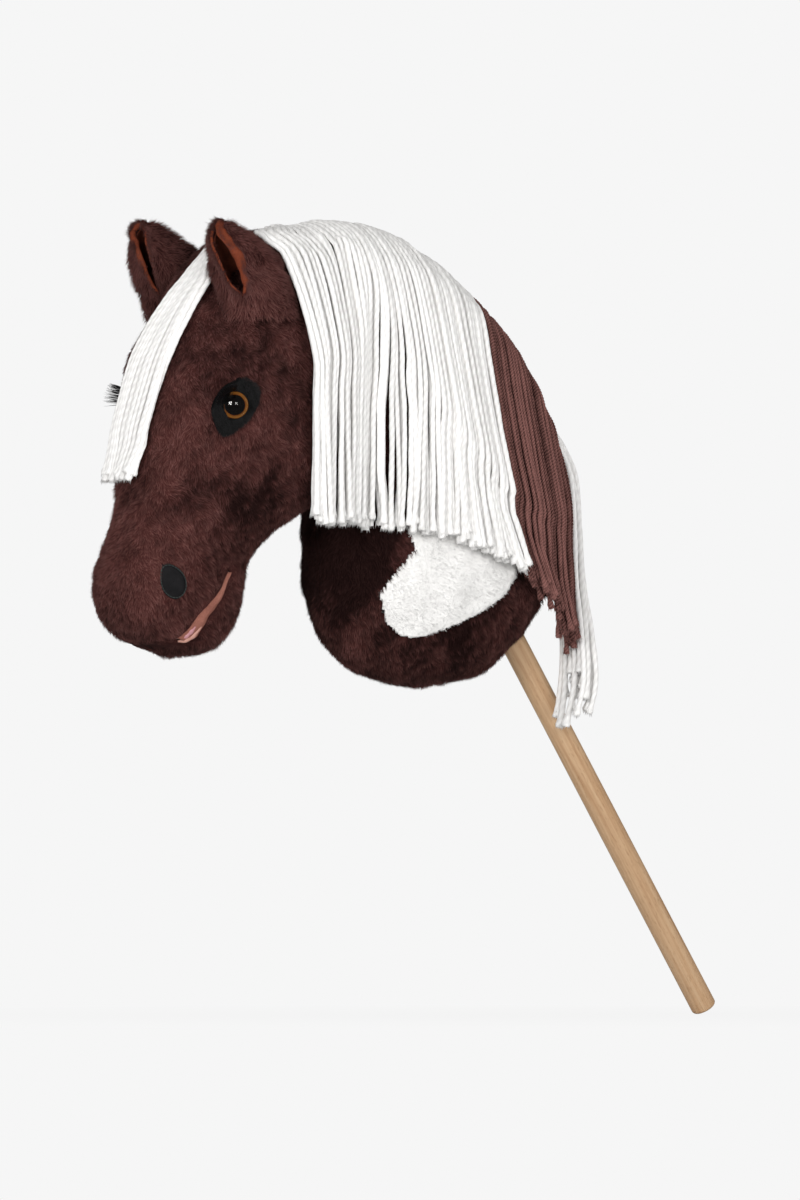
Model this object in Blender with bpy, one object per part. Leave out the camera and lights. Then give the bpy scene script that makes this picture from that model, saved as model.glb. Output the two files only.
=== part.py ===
"""Hobby horse: a stuffed plush head and neck with a yarn mane on a beech stick.

The horse faces -X and its near (left) side is -Y. +Z is up, in the slanted pose in which it is held.
The origin is on the stick's axis, in the middle of the rider's grip.
Lengths are in metres and angles in degrees. The outline tables are in millimetres, in the plane of symmetry.
"""

import math

import bmesh
import bpy
import numpy as np
from mathutils import Matrix, Vector
from mathutils.bvhtree import BVHTree

MM = 0.001
GAP = 0.0004  # between pieces that touch
CUT = 0.00015  # half of the gap at the seam on the plane of symmetry

# Stick and its sleeve
STICK_DIAMETER = 0.022
STICK_BELOW_GRIP = 0.321
STICK_ABOVE_GRIP = 0.375
STICK_LEAN = 33.6  # from vertical, the lower end towards +X
STICK_END_ROUND = 0.003
STICK_END_STEPS = 4
SLEEVE_WALL = 0.0015
SLEEVE_FIT = 0.0004
SLEEVE_FROM = 0.085  # along the stick from the grip
TIE_DIAMETER = 0.004
TIE_FROM = 0.012  # above the sleeve's mouth
TIE_STEPS = 16  # round the sleeve
TIE_SIDES = 6

# Stuffed head and neck
HEAD_WIDTH = 0.148
NECK_WIDTH = 0.144
PLUSH = 0.005  # backing and pile
# Rows: front x and z, back x and z, share of the half width, how much narrower in front, squareness
HEAD_ROWS = (
    (-318, 408, -318, 408, 0.00, 0.00, 1.00),
    (-351, 398, -280, 400, 0.45, 0.00, 1.00),
    (-378, 379, -248, 374, 0.70, 0.02, 0.95),
    (-402, 350, -231, 328, 0.86, 0.02, 0.92),
    (-421, 318, -226, 290, 0.95, 0.01, 0.88),
    (-434, 286, -232, 252, 0.99, 0.01, 0.86),
    (-443, 255, -241, 218, 1.00, 0.06, 0.86),
    (-449, 224, -256, 188, 0.96, 0.14, 0.88),
    (-454, 192, -280, 160, 0.87, 0.16, 0.90),
    (-461, 161, -312, 141, 0.74, 0.08, 0.90),
    (-470, 132, -329, 120, 0.67, 0.00, 0.88),
    (-477, 106, -335, 96, 0.66, -0.08, 0.85),
    (-475, 83, -341, 74, 0.64, -0.10, 0.85),
    (-463, 62, -354, 53, 0.57, -0.10, 0.85),
    (-443, 47, -373, 40, 0.42, -0.05, 0.90),
    (-408, 33, -408, 33, 0.00, 0.00, 1.00),
)
NECK_ROWS = (
    (-132, 8, -132, 8, 0.00, 0.00, 1.00),
    (-188, 17, -78, 22, 0.45, 0.00, 1.00),
    (-222, 36, -45, 45, 0.75, 0.00, 1.00),
    (-242, 65, -16, 77, 0.92, 0.00, 0.95),
    (-248, 99, 2, 108, 0.99, -0.03, 0.92),
    (-250, 138, 8, 147, 1.00, -0.08, 0.92),
    (-250, 181, 6, 190, 0.96, -0.15, 0.92),
    (-252, 224, -7, 237, 0.89, -0.20, 0.95),
    (-256, 266, -31, 287, 0.82, -0.25, 1.00),
    (-267, 302, -70, 335, 0.75, -0.28, 1.00),
    (-282, 330, -124, 374, 0.67, -0.28, 1.00),
    (-298, 350, -186, 398, 0.58, -0.25, 1.00),
    (-312, 372, -248, 407, 0.46, -0.15, 1.00),
    (-298, 397, -298, 397, 0.00, 0.00, 1.00),
)
STEPS_PER_ROW = 1
SEGMENTS = 24
ROUND = 24  # sides of a turned piece
WASHER_SIDES = 20

# Seams of the cover, in the plane of symmetry
GUSSET_WIDTH = 0.034
GUSSET_BACK = ((-318, 440), (-318, 330), (-370, 230), (-400, 130), (-408, 20))
GUSSET_FRONT = ((-700, 20), (-700, 440))  # clear of the head
CHIN_SEAM = ((-384, 112), (-352, 118), (-318, 124))
CHIN_BELOW = ((-250, 124), (-250, -60), (-480, -60))  # clear of the head
WHITE_PATCH = (
    (-197, 147),
    (-190, 131),
    (-202, 113),
    (-208, 91),
    (-202, 68),
    (-188, 55),
    (-176, 54),
    (-164, 58),
    (-140, 66),
    (-114, 79),
    (-97, 90),
    (-80, 108),
    (-92, 138),
    (-135, 162),
    (-178, 164),
)
BASE_SEAM = ((-280, 62), (-180, 30), (-90, 34), (20, 84))
BASE_BELOW = ((60, -80), (-320, -80))  # clear of the neck
PATCH_FROM = 0.03  # out from the plane of symmetry

# Mouth: the line between the lips, from the corner down and forwards, how far they part, and the lining there
MOUTH_LINE = ((-381, 112), (-385, 95), (-391, 80), (-401, 66), (-416, 56), (-434, 49), (-480, 42))
MOUTH_WIDTHS = (2.5, 4.0, 5.5, 8.0, 9.5, 5.0, 1.6)
LINING_BACK = 0.0015  # below the cover's surface
LIP_LINE = ((-394, 74), (-399, 64), (-414.6, 53.4), (-430, 49))
LIP_THICK = 0.0028

# Eyes
EYE_DIAMETER = 0.0235
EYE_X = -0.388
EYE_Z = 0.253
EYE_YAW = 57  # outward from straight ahead
EYE_BASE_THICK = 0.0022
EYE_SUNK = 0.0014
LENS_HEIGHT = 0.0072
LENS_STEPS = 6
SHANK_DIAMETER = 0.005
SHANK_LENGTH = 0.016
WASHER_DIAMETER = 0.020
WASHER_THICK = 0.002
WASHER_BEHIND = 0.0095  # behind the eye's back
FELT = 0.0016
PATCH_REACH = 0.03  # how far from the eye's plane its curved outline can lie
# The felt round the eye, from its middle: backwards and up
PATCH_OUTLINE = (
    (-20, -2),
    (-15, 9),
    (-2, 20),
    (11, 25),
    (20, 18),
    (22, 7),
    (14, -8),
    (4, -18),
    (-10, -25),
    (-17, -16),
)
LASH_REACH = 0.007  # away from the eye
LASH_RISE = 0.022  # away from the head
LASH_THICK = 0.0009
LASH_FROM = 90  # angles round the eye, from its rear, over the top
LASH_TO = 190
LASH_STEPS = 8

# Nostrils
NOSTRIL_X = -0.440
NOSTRIL_Z = 0.102
NOSTRIL_WIDTH = 0.0230
NOSTRIL_HEIGHT = 0.0290
NOSTRIL_TILT = 28
NOSTRIL_SIDES = 20
NOSTRIL_REACH = 0.012  # how far from the nostril's plane its curved outline can lie
STITCH_WIDTH = 0.0024
STITCH_THICK = 0.0022

# Ears: level sections of a cup that opens forwards, with the shift of each centre
EAR_X = -0.355
EAR_Z = 0.343
EAR_INSET = 0.002
EAR_HALF_WIDTH = 0.025
EAR_HALF_DEPTH = 0.035
EAR_HEIGHT = 0.070
EAR_WALL = 0.0045
EAR_LINING = 0.0022
EAR_SWING = 20
EAR_SIDES = 18
EAR_SETBACK = 0.001  # of the lining's edge behind the rim
EAR_LEAST = 0.02  # share of the full size that the tip keeps
# Rows: share of the height, shift forwards in mm, share of the full size
EAR_ROWS = (
    (-0.34, 6, 0.98),
    (0.00, 0, 1.03),
    (0.26, -9, 1.03),
    (0.50, -16, 0.96),
    (0.73, -26, 0.72),
    (0.88, -33, 0.46),
    (0.96, -36, 0.24),
    (1.00, -37, 0.00),
)
EAR_RIM = ((-22, -40), (-22, 6), (-27, 25), (-33, 39), (-41, 54), (-56, 63), (-90, 66), (-90, -40))
EAR_RIM_HEIGHT = 70  # the height, in mm, that the rim's points are drawn for
EAR_TURN = 25  # degrees that both ears' openings are turned from straight ahead to the near side

# Mane: yarn sewn to a tape along the crest, hanging over the near side
TAPE_WIDTH = 0.016
TAPE_THICK = 0.002
TAPE_BELOW = ((-288, 340), (-190, 320), (-110, 260), (-40, 172), (-40, 112))  # under the crest, end to end
MANE_ROOT = 0.005
MANE_THICK = 0.012
MANE_CLEAR = 0.0010  # between the yarn and the tape under it
MANE_GAP = 0.0035  # behind each section
# name, x of the front edge, z of the tips in front and behind
MANE_SECTIONS = (
    ("mane_white_front_1", -0.3110, 0.155, 0.152),
    ("mane_white_front_2", -0.2295, 0.152, 0.140),
    ("mane_white_front_3", -0.1575, 0.138, 0.114),
    ("mane_brown_1", -0.0875, 0.096, 0.074),
    ("mane_brown_2", -0.0385, 0.056, 0.040),
)
MANE_END = 0.0035  # x where the next section would begin
# x along the crest, and how far backwards the yarn strays by a drop of MANE_DROP
MANE_STRAY = (
    (-0.309, -0.006),
    (-0.231, -0.003),
    (-0.159, 0.006),
    (-0.089, 0.015),
    (-0.040, 0.013),
    (0.000, 0.012),
)
MANE_DROP = 0.25
MANE_COLUMNS = 7
DRAPE_ANGLES = np.radians((90, 75, 60, 45, 30, 15, 0))  # of the lines that the yarn's fold touches
CREST_STEP = 0.003  # to either side, where the crest's fall is measured
STEEPEST = 3.0  # fall of the crest up to which the clearance is kept square to it
HUNG_ROWS = 24  # spots of the cover that hanging yarn is fitted to
BELOW_CREST = 0.001  # the highest of them
CREST_TURN = 4  # degrees between those over the crest
BELOW_BULGE = (0.25, 0.6, 1.0)  # rows of the straight part below
REAR_SIDES = 16
REAR_SQUARE = 0.6
# Rows: z, x from, x to, y near the crest, y outside
REAR_ROWS = (
    (198, 7.2, 13, -2, -12),
    (176, 8.6, 19, -2, -24),
    (145, 9.8, 24, -3, -40),
    (100, 11.5, 25, -6, -50),
    (40, 8, 23, -12, -52),
    (0, 0, 20, -15, -50),
    (-30, -8, 15, -17, -44),
)

# Forelock
FORELOCK_ROOT_WIDTH = 0.018
FORELOCK_TIP_WIDTH = 0.048
FORELOCK_ROOT_Z = 0.386
FORELOCK_TIP_Z = 0.186
FORELOCK_ROOT_THICK = 0.005
FORELOCK_THICK = 0.008
FORELOCK_CLEAR = 0.0006
FORELOCK_ANGLES = np.radians((55, 40, 27, 16, 8))  # of the lines that it touches
FORELOCK_STRAY = 0.006  # how far its tips stand off the face
FORELOCK_COLUMNS = 5

PLUSH_BROWN = (0.085, 0.034, 0.032)
PLUSH_WHITE = (0.82, 0.80, 0.76)
YARN_WHITE = (0.86, 0.86, 0.85)
YARN_BROWN = (0.13, 0.050, 0.048)
LINING_RUST = (0.24, 0.065, 0.025)
LINING_SALMON = (0.42, 0.16, 0.12)
SATIN_PINK = (0.55, 0.28, 0.30)
FELT_BLACK = (0.010, 0.010, 0.011)
THREAD_GREY = (0.035, 0.042, 0.040)
AMBER = (0.30, 0.11, 0.02)
CLEAR = (0.9, 0.9, 0.9)
FIBRE = (0.80, 0.80, 0.80)
COTTON = (0.62, 0.58, 0.50)
BEECH = (0.60, 0.40, 0.22)
NYLON = (0.75, 0.75, 0.72)

scene = bpy.context.scene
for old in list(bpy.data.objects):
    bpy.data.objects.remove(old)


# Meshes and solids


def mesh_of(points, faces):
    """A mesh with its faces pointing outwards."""
    mesh = bpy.data.meshes.new("shape")
    mesh.from_pydata([tuple(map(float, p)) for p in points], [], faces)
    edit = bmesh.new()
    edit.from_mesh(mesh)
    bmesh.ops.recalc_face_normals(edit, faces=edit.faces)
    if edit.calc_volume(signed=True) < 0:
        bmesh.ops.reverse_faces(edit, faces=edit.faces)
    edit.to_mesh(mesh)
    edit.free()
    return mesh


def combine(first, second, operation):
    """The exact Boolean of two closed meshes."""
    objects = [bpy.data.objects.new("term", m) for m in (first, second)]
    for item in objects:
        scene.collection.objects.link(item)
    cut = objects[0].modifiers.new("cut", "BOOLEAN")
    cut.operation = operation
    cut.solver = "EXACT"
    cut.object = objects[1]
    graph = bpy.context.evaluated_depsgraph_get()
    mesh = bpy.data.meshes.new_from_object(objects[0].evaluated_get(graph))
    for item in objects:
        bpy.data.objects.remove(item)
    return mesh


def minus(mesh, *others):
    for other in others:
        mesh = combine(mesh, other, "DIFFERENCE")
    return mesh


def within(mesh, *others):
    for other in others:
        mesh = combine(mesh, other, "INTERSECT")
    return mesh


def largest_piece(mesh):
    """The mesh without the crumbs that a cut along a curved seam can leave."""
    edit = bmesh.new()
    edit.from_mesh(mesh)
    bmesh.ops.remove_doubles(edit, verts=edit.verts, dist=1e-6)
    bmesh.ops.dissolve_degenerate(edit, edges=edit.edges, dist=1e-6)
    left = set(edit.verts)
    groups = []
    while left:
        stack = [left.pop()]
        group = set(stack)
        while stack:
            for edge in stack.pop().link_edges:
                for vert in edge.verts:
                    if vert in left:
                        left.discard(vert)
                        group.add(vert)
                        stack.append(vert)
        groups.append(group)
    groups.sort(key=len)
    for group in groups[:-1]:
        bmesh.ops.delete(edit, geom=list(group), context="VERTS")
    edit.to_mesh(mesh)
    edit.free()
    return mesh


def material(name, colour, roughness=0.9, transmission=0.0):
    paint = bpy.data.materials.new(name)
    paint.use_nodes = True
    shader = paint.node_tree.nodes["Principled BSDF"]
    shader.inputs["Base Color"].default_value = (*colour, 1)
    shader.inputs["Roughness"].default_value = roughness
    shader.inputs["Metallic"].default_value = 0.0
    shader.inputs["Transmission Weight"].default_value = transmission
    paint.diffuse_color = (*colour, 1)
    return paint


def piece(name, mesh, colour, roughness=0.9, origin=(0, 0, 0), transmission=0.0):
    """One named solid, with its origin on its joint's axis if it moves."""
    mesh.name = name
    mesh.materials.clear()
    mesh.materials.append(material(name, colour, roughness, transmission))
    mesh.transform(Matrix.Translation(-Vector(origin)))
    mesh.shade_smooth()
    mesh.set_sharp_from_angle(angle=math.radians(35))
    item = bpy.data.objects.new(name, mesh)
    item.location = origin
    scene.collection.objects.link(item)
    return item


def curve_through(rows, steps):
    """A smooth curve through the rows (Catmull-Rom), with a number of steps between neighbours."""
    rows = np.asarray(rows, float)
    ends = 2 * rows[:1] - rows[1:2], 2 * rows[-1:] - rows[-2:-1]
    held = np.vstack([ends[0], rows, ends[1]])
    a, b, c, d = held[:-3, None], held[1:-2, None], held[2:-1, None], held[3:, None]
    t = (np.arange(steps) / steps)[None, :, None]
    points = 0.5 * (
        2 * b + (c - a) * t + (2 * a - 5 * b + 4 * c - d) * t**2 + (3 * b - a - 3 * c + d) * t**3
    )
    return np.vstack([points.reshape(-1, rows.shape[1]), rows[-1:]])


def skin_grid(rings, first, last):
    """Triangles over rings of equal length, closed with a point at each end."""
    count, around = rings.shape[:2]
    points = np.vstack([rings.reshape(-1, 3), first, last])
    at = np.arange(count * around).reshape(count, around)
    near = np.roll(at, -1, 1)
    a, b, c, d = at[:-1].ravel(), near[:-1].ravel(), near[1:].ravel(), at[1:].ravel()
    faces = np.vstack([np.stack([a, b, c], 1), np.stack([a, c, d], 1)]).tolist()
    poles = count * around, count * around + 1
    faces += [[poles[0], int(near[0, i]), int(at[0, i])] for i in range(around)]
    faces += [[poles[1], int(at[-1, i]), int(near[-1, i])] for i in range(around)]
    return points, faces


class Stuffed:
    """A swelling form: rings between a front and a back outline, closed at both ends."""

    def __init__(self, rows, width):
        table = curve_through(rows, STEPS_PER_ROW)
        front, back = table[1:-1, 0:2] * MM, table[1:-1, 2:4] * MM
        share, narrow, square = (table[1:-1, i, None] for i in (4, 5, 6))
        angle = np.arange(SEGMENTS) * 2 * math.pi / SEGMENTS
        ahead = np.sign(np.cos(angle)) * np.abs(np.cos(angle)) ** square
        aside = np.sign(np.sin(angle)) * np.abs(np.sin(angle)) ** square
        middle, reach = (front + back) / 2, (front - back) / 2
        x = middle[:, :1] + reach[:, :1] * ahead
        z = middle[:, 1:] + reach[:, 1:] * ahead
        y = -width / 2 * share * aside * (1 - narrow * ahead)
        ends = [(rows[i][0] * MM, 0.0, rows[i][1] * MM) for i in (0, -1)]
        self.points, self.faces = skin_grid(np.stack([x, y, z], -1), *ends)
        mesh = mesh_of(self.points, self.faces)
        self.faces = [tuple(p.vertices) for p in mesh.polygons]
        self.normals = np.array([v.normal for v in mesh.vertices])

    def layer(self, offset):
        """The closed surface at an offset, outwards if positive."""
        mesh = bpy.data.meshes.new("layer")
        points = self.points + self.normals * offset
        mesh.from_pydata(points.tolist(), [], self.faces)
        return mesh


def tree_of(mesh):
    edit = bmesh.new()
    edit.from_mesh(mesh)
    tree = BVHTree.FromBMesh(edit)
    edit.free()
    return tree


def outermost(trees, start, direction):
    """Where a ray from outside first meets one of the surfaces: the point and its normal."""
    found = [t.ray_cast(Vector(start), Vector(direction)) for t in trees]
    found = [f for f in found if f[0] is not None]
    return min(found, key=lambda f: f[3])[:2] if found else (None, None)


def prism(outline, low, high, place=None):
    """An outline extruded along z from low to high, then placed by a matrix."""
    count = len(outline)
    points = [(x, y, z) for z in (low, high) for x, y in outline]
    faces = [tuple(range(count)), tuple(range(count, 2 * count))]
    faces += [(i, (i + 1) % count, count + (i + 1) % count, count + i) for i in range(count)]
    mesh = mesh_of(points, faces)
    if place:
        mesh.transform(place)
    return mesh


SIDEWAYS = Matrix(((1, 0, 0, 0), (0, 0, -1, 0), (0, 1, 0, 0), (0, 0, 0, 1)))  # x, y, z to x, -z, y


def side_prism(outline, low, high):
    """An outline of x and z in millimetres, extruded along Y from low to high."""
    return prism([(x * MM, z * MM) for x, z in outline], -high, -low, SIDEWAYS)


def circle(diameter, count):
    turn = 2 * math.pi / count
    return [(diameter / 2 * math.cos(i * turn), diameter / 2 * math.sin(i * turn)) for i in range(count)]


def turned(profile, count, place=None):
    """A profile of radius and height, from axis to axis, turned about z."""
    inner = np.array(profile[1:-1])
    turn = np.arange(count) * 2 * math.pi / count
    rings = np.stack(
        [
            inner[:, :1] * np.cos(turn),
            inner[:, :1] * np.sin(turn),
            np.repeat(inner[:, 1:], count, 1),
        ],
        -1,
    )
    points, faces = skin_grid(rings, (0, 0, profile[0][1]), (0, 0, profile[-1][1]))
    mesh = mesh_of(points, faces)
    if place:
        mesh.transform(place)
    return mesh


def facing(point, outward, up=(0, 0, 1)):
    """The matrix of a frame at a point: z outward, y as near up as it can be."""
    z = Vector(outward).normalized()
    x = Vector(up).cross(z).normalized()
    y = z.cross(x)
    turn = Matrix((x, y, z)).transposed().to_4x4()
    return Matrix.Translation(Vector(point)) @ turn


def along(profile_line, half_widths):
    """An outline round a line of x and z, in millimetres, a half width to either side of each point."""
    line = np.array(profile_line, float)
    run = np.gradient(line, axis=0)
    run /= np.linalg.norm(run, axis=1)[:, None]
    side = np.stack([run[:, 1], -run[:, 0]], 1) * np.array(half_widths)[:, None] / MM
    return [tuple(p) for p in np.vstack([line + side, (line - side)[::-1]])]


def grown(outline, distance):
    """A closed outline with its sides moved outwards by a distance."""
    spots = np.array(outline, float)
    run = np.roll(spots, -1, 0) - spots
    run /= np.linalg.norm(run, axis=1)[:, None]
    out = np.stack([run[:, 1], -run[:, 0]], 1)
    area = (spots[:, 0] * np.roll(spots[:, 1], -1) - spots[:, 1] * np.roll(spots[:, 0], -1)).sum()
    both = (out + np.roll(out, 1, 0)) * np.sign(area)
    return spots + both * (2 * distance / (both**2).sum(1))[:, None]


SPACE = 0.4  # beyond the object on any side
OFF_EDGE = 0.0002  # to the side of the middle, so that a ray meets a face and not an edge

head = Stuffed(HEAD_ROWS, HEAD_WIDTH)
neck = Stuffed(NECK_ROWS, NECK_WIDTH)
head_tree = tree_of(head.layer(0))
neck_tree = tree_of(neck.layer(0))


# Stick and sleeve

lean = math.radians(STICK_LEAN)
STICK_UP = Vector((-math.sin(lean), 0, math.cos(lean)))
stick_place = facing((0, 0, 0), STICK_UP, (0, 1, 0))


def stick_rod(radius, low, high):
    return prism(circle(2 * radius, ROUND), low, high, stick_place)


def make_stick():
    r, e = STICK_DIAMETER / 2, STICK_END_ROUND
    turns = np.linspace(0, math.pi / 2, STICK_END_STEPS)
    arc = [(r - e + e * math.sin(a), e - e * math.cos(a)) for a in turns]
    low, high = -STICK_BELOW_GRIP, STICK_ABOVE_GRIP
    side = [(x, low + z) for x, z in arc] + [(x, high - z) for x, z in arc[::-1]]
    profile = [(0, low)] + side + [(0, high)]
    piece("stick", turned(profile, ROUND, stick_place), BEECH, 0.55)


SLEEVE_INNER = STICK_DIAMETER / 2 + SLEEVE_FIT
SLEEVE_OUTER = SLEEVE_INNER + SLEEVE_WALL
SLEEVE_TOP = STICK_ABOVE_GRIP + SLEEVE_FIT + SLEEVE_WALL


def make_sleeve():
    profile = [
        (0, SLEEVE_TOP - SLEEVE_WALL),
        (SLEEVE_INNER, SLEEVE_TOP - SLEEVE_WALL),
        (SLEEVE_INNER, SLEEVE_FROM),
        (SLEEVE_OUTER, SLEEVE_FROM),
        (SLEEVE_OUTER, SLEEVE_TOP),
        (0, SLEEVE_TOP),
    ]
    piece("stick_sleeve", turned(profile, ROUND, stick_place), COTTON)


def tie_ring(grow):
    """A cord drawn round the sleeve above its mouth."""
    centre = SLEEVE_OUTER + GAP + TIE_DIAMETER / 2
    radius = TIE_DIAMETER / 2 + grow
    middle = SLEEVE_FROM + TIE_FROM
    turn = np.arange(TIE_STEPS) * 2 * math.pi / TIE_STEPS
    small = np.arange(TIE_SIDES) * 2 * math.pi / TIE_SIDES
    r = centre + radius * np.cos(small)
    points = np.stack(
        [
            np.outer(np.cos(turn), r),
            np.outer(np.sin(turn), r),
            np.tile(middle + radius * np.sin(small), (TIE_STEPS, 1)),
        ],
        -1,
    ).reshape(-1, 3)
    at = np.arange(TIE_STEPS * TIE_SIDES).reshape(TIE_STEPS, TIE_SIDES)
    a, b, c, d = at, np.roll(at, -1, 1), np.roll(np.roll(at, -1, 0), -1, 1), np.roll(at, -1, 0)
    faces = np.stack([a, b, c, d], -1).reshape(-1, 4).tolist()
    mesh = mesh_of(points, faces)
    mesh.transform(stick_place)
    return mesh


def make_tie():
    piece("sleeve_tie", tie_ring(0), NYLON, 0.6)


# Places of what sits on the head


def side_seat(x, z, side):
    """The cover's surface at x and z on the near side (-1) or the far side (1)."""
    return outermost([head_tree], (x, side * SPACE, z), (0, -side, 0))


def eye_place(side):
    point, _ = side_seat(EYE_X, EYE_Z, side)
    yaw = math.radians(EYE_YAW)
    return facing(point, (-math.cos(yaw), side * math.sin(yaw), 0))


def nostril_place(side):
    point, normal = side_seat(NOSTRIL_X, NOSTRIL_Z, side)
    return facing(point, normal)


def eye_pocket(side):
    """What the eye, its shank and its washer take out of the cover and the stuffing."""
    bottom = -WASHER_BEHIND - WASHER_THICK - 2 * GAP
    profile = [
        (0, bottom),
        (SHANK_DIAMETER / 2 + GAP, bottom),
        (SHANK_DIAMETER / 2 + GAP, -EYE_SUNK - GAP),
        (EYE_DIAMETER / 2 + GAP, -EYE_SUNK - GAP),
        (EYE_DIAMETER / 2 + GAP, LENS_HEIGHT * 2),
        (0, LENS_HEIGHT * 2),
    ]
    return turned(profile, ROUND, eye_place(side))


def washer_pocket(side):
    """The hollow in the stuffing behind the cover for the washer and the end of the shank."""
    depth = EYE_SUNK + SHANK_LENGTH + GAP
    return prism(circle(WASHER_DIAMETER + 2 * GAP, WASHER_SIDES), -depth, 0, eye_place(side))


# Cover and stuffing


def slab_of_y(low, high):
    far = 2 * SPACE / MM
    return side_prism(((-far, -far), (far, -far), (far, far), (-far, far)), low, high)


def gusset_prism(grow):
    half = GUSSET_WIDTH / 2 + grow
    return side_prism(GUSSET_BACK + GUSSET_FRONT, -half, half)


def chin_prism(grow):
    back = [(x - grow / MM, z + grow / MM) for x, z in CHIN_SEAM]
    front = [(x - grow / MM, z) for x, z in MOUTH_LINE[::-1]]
    return side_prism(back + list(CHIN_BELOW) + front[:-1], -SPACE, SPACE)


def mouth_prism(grow):
    """The slit between the lips, widest near its lower end, across the whole muzzle."""
    line = list(MOUTH_LINE)
    line[0] = (line[0][0], line[0][1] + grow / MM)
    return side_prism(along(line, np.array(MOUTH_WIDTHS) * MM / 2 + grow), -SPACE, SPACE)


def base_prism(grow):
    seam = [(x, z + grow / MM) for x, z in BASE_SEAM]
    return side_prism(seam + list(BASE_BELOW), -SPACE, SPACE)


def make_stuffing():
    inside = -PLUSH - GAP
    washers = [washer_pocket(s) for s in (-1, 1)]
    core = minus(head.layer(inside), mouth_prism(GAP), *washers)
    piece("head_stuffing", largest_piece(core), FIBRE)
    bore = stick_rod(SLEEVE_OUTER + GAP, -SPACE, SLEEVE_TOP + GAP)
    body = minus(neck.layer(inside), head.layer(inside + GAP), bore, tie_ring(GAP))
    piece("neck_stuffing", largest_piece(body), FIBRE)


def make_head_cover():
    inner = head.layer(-PLUSH)
    neck_inner = neck.layer(-PLUSH)
    sides = {-1: slab_of_y(-SPACE, -CUT), 1: slab_of_y(CUT, SPACE)}
    for side, name in ((-1, "left"), (1, "right")):
        panel = within(head.layer(0), sides[side])
        panel = minus(
            panel,
            inner,
            gusset_prism(GAP),
            chin_prism(GAP),
            mouth_prism(GAP),
            neck_inner,
            eye_pocket(side),
        )
        piece(f"face_panel_{name}", largest_piece(panel), PLUSH_BROWN)
    gusset = minus(within(head.layer(0), gusset_prism(0)), inner, mouth_prism(GAP), neck_inner)
    piece("forehead_gusset", largest_piece(gusset), PLUSH_BROWN)
    chin = minus(within(head.layer(0), chin_prism(0)), inner, mouth_prism(GAP))
    piece("chin_panel", largest_piece(chin), PLUSH_BROWN)


def lip_prism(grow):
    """The fold along the lower lip, between the lining and the chin."""
    half = np.full(len(LIP_LINE), LIP_THICK / 2 + grow)
    return side_prism(along(LIP_LINE, half), -SPACE, SPACE)


def make_mouth():
    room = head.layer(-LINING_BACK)
    lip = within(room, mouth_prism(0), lip_prism(0))
    lining = minus(within(room, mouth_prism(0)), lip_prism(GAP))
    piece("mouth_lining", largest_piece(lining), LINING_SALMON, 0.8)
    piece("lower_lip", largest_piece(lip), SATIN_PINK, 0.5)


def patch_prism(grow):
    """The white patch's outline on the near side."""
    return side_prism([tuple(p) for p in grown(WHITE_PATCH, grow / MM)], -SPACE, -PATCH_FROM)


def make_neck_cover():
    inner = neck.layer(-PLUSH)
    clear = head.layer(GAP)
    hole = stick_rod(SLEEVE_OUTER + GAP, -SPACE, STICK_ABOVE_GRIP / 2)
    sides = {-1: slab_of_y(-SPACE, -CUT), 1: slab_of_y(CUT, SPACE)}
    for side, name in ((-1, "left"), (1, "right")):
        panel = minus(within(neck.layer(0), sides[side]), inner, clear, base_prism(GAP), hole)
        if side < 0:
            panel = minus(panel, patch_prism(GAP))
        piece(f"neck_panel_{name}", largest_piece(panel), PLUSH_BROWN)
    patch = minus(within(neck.layer(0), patch_prism(0)), inner)
    piece("neck_white_patch", largest_piece(patch), PLUSH_WHITE)
    base = minus(within(neck.layer(0), base_prism(0)), inner, hole)
    piece("base_panel", largest_piece(base), PLUSH_BROWN)


# Eyes and nostrils


def make_eyes():
    for side, name in ((-1, "left"), (1, "right")):
        place = eye_place(side)
        r = EYE_DIAMETER / 2
        back = -EYE_SUNK
        front = back + EYE_BASE_THICK
        shank_end = back - SHANK_LENGTH
        profile = [
            (0, shank_end),
            (SHANK_DIAMETER / 2, shank_end),
            (SHANK_DIAMETER / 2, back),
            (r, back),
            (r, front),
            (0, front),
        ]
        piece(f"eye_base_{name}", turned(profile, ROUND, place), AMBER, 0.3)
        angles = np.linspace(0, math.pi / 2, LENS_STEPS)
        dome = [(r * math.cos(a), front + GAP + LENS_HEIGHT * math.sin(a)) for a in angles]
        lens = turned([(0, front + GAP)] + dome[:-1] + [(0, dome[-1][1])], ROUND, place)
        piece(f"eye_lens_{name}", lens, CLEAR, 0.05, transmission=1.0)
        low = -WASHER_BEHIND - WASHER_THICK
        washer = minus(
            prism(circle(WASHER_DIAMETER, WASHER_SIDES), low, -WASHER_BEHIND, place),
            prism(circle(SHANK_DIAMETER + 2 * GAP, ROUND), low - WASHER_THICK, 0, place),
        )
        piece(f"eye_washer_{name}", washer, NYLON, 0.5)
        outline = [(-side * x * MM, z * MM) for x, z in PATCH_OUTLINE]
        column = prism(outline, -PATCH_REACH, PATCH_REACH, place)
        felt = minus(within(head.layer(GAP + FELT), column), head.layer(GAP), eye_pocket(side))
        piece(f"eye_patch_{name}", largest_piece(felt), FELT_BLACK)
        lashes = minus(lash_band(side, front), head.layer(2 * GAP + FELT))
        piece(f"eye_lashes_{name}", largest_piece(lashes), FELT_BLACK, 0.5)


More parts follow.
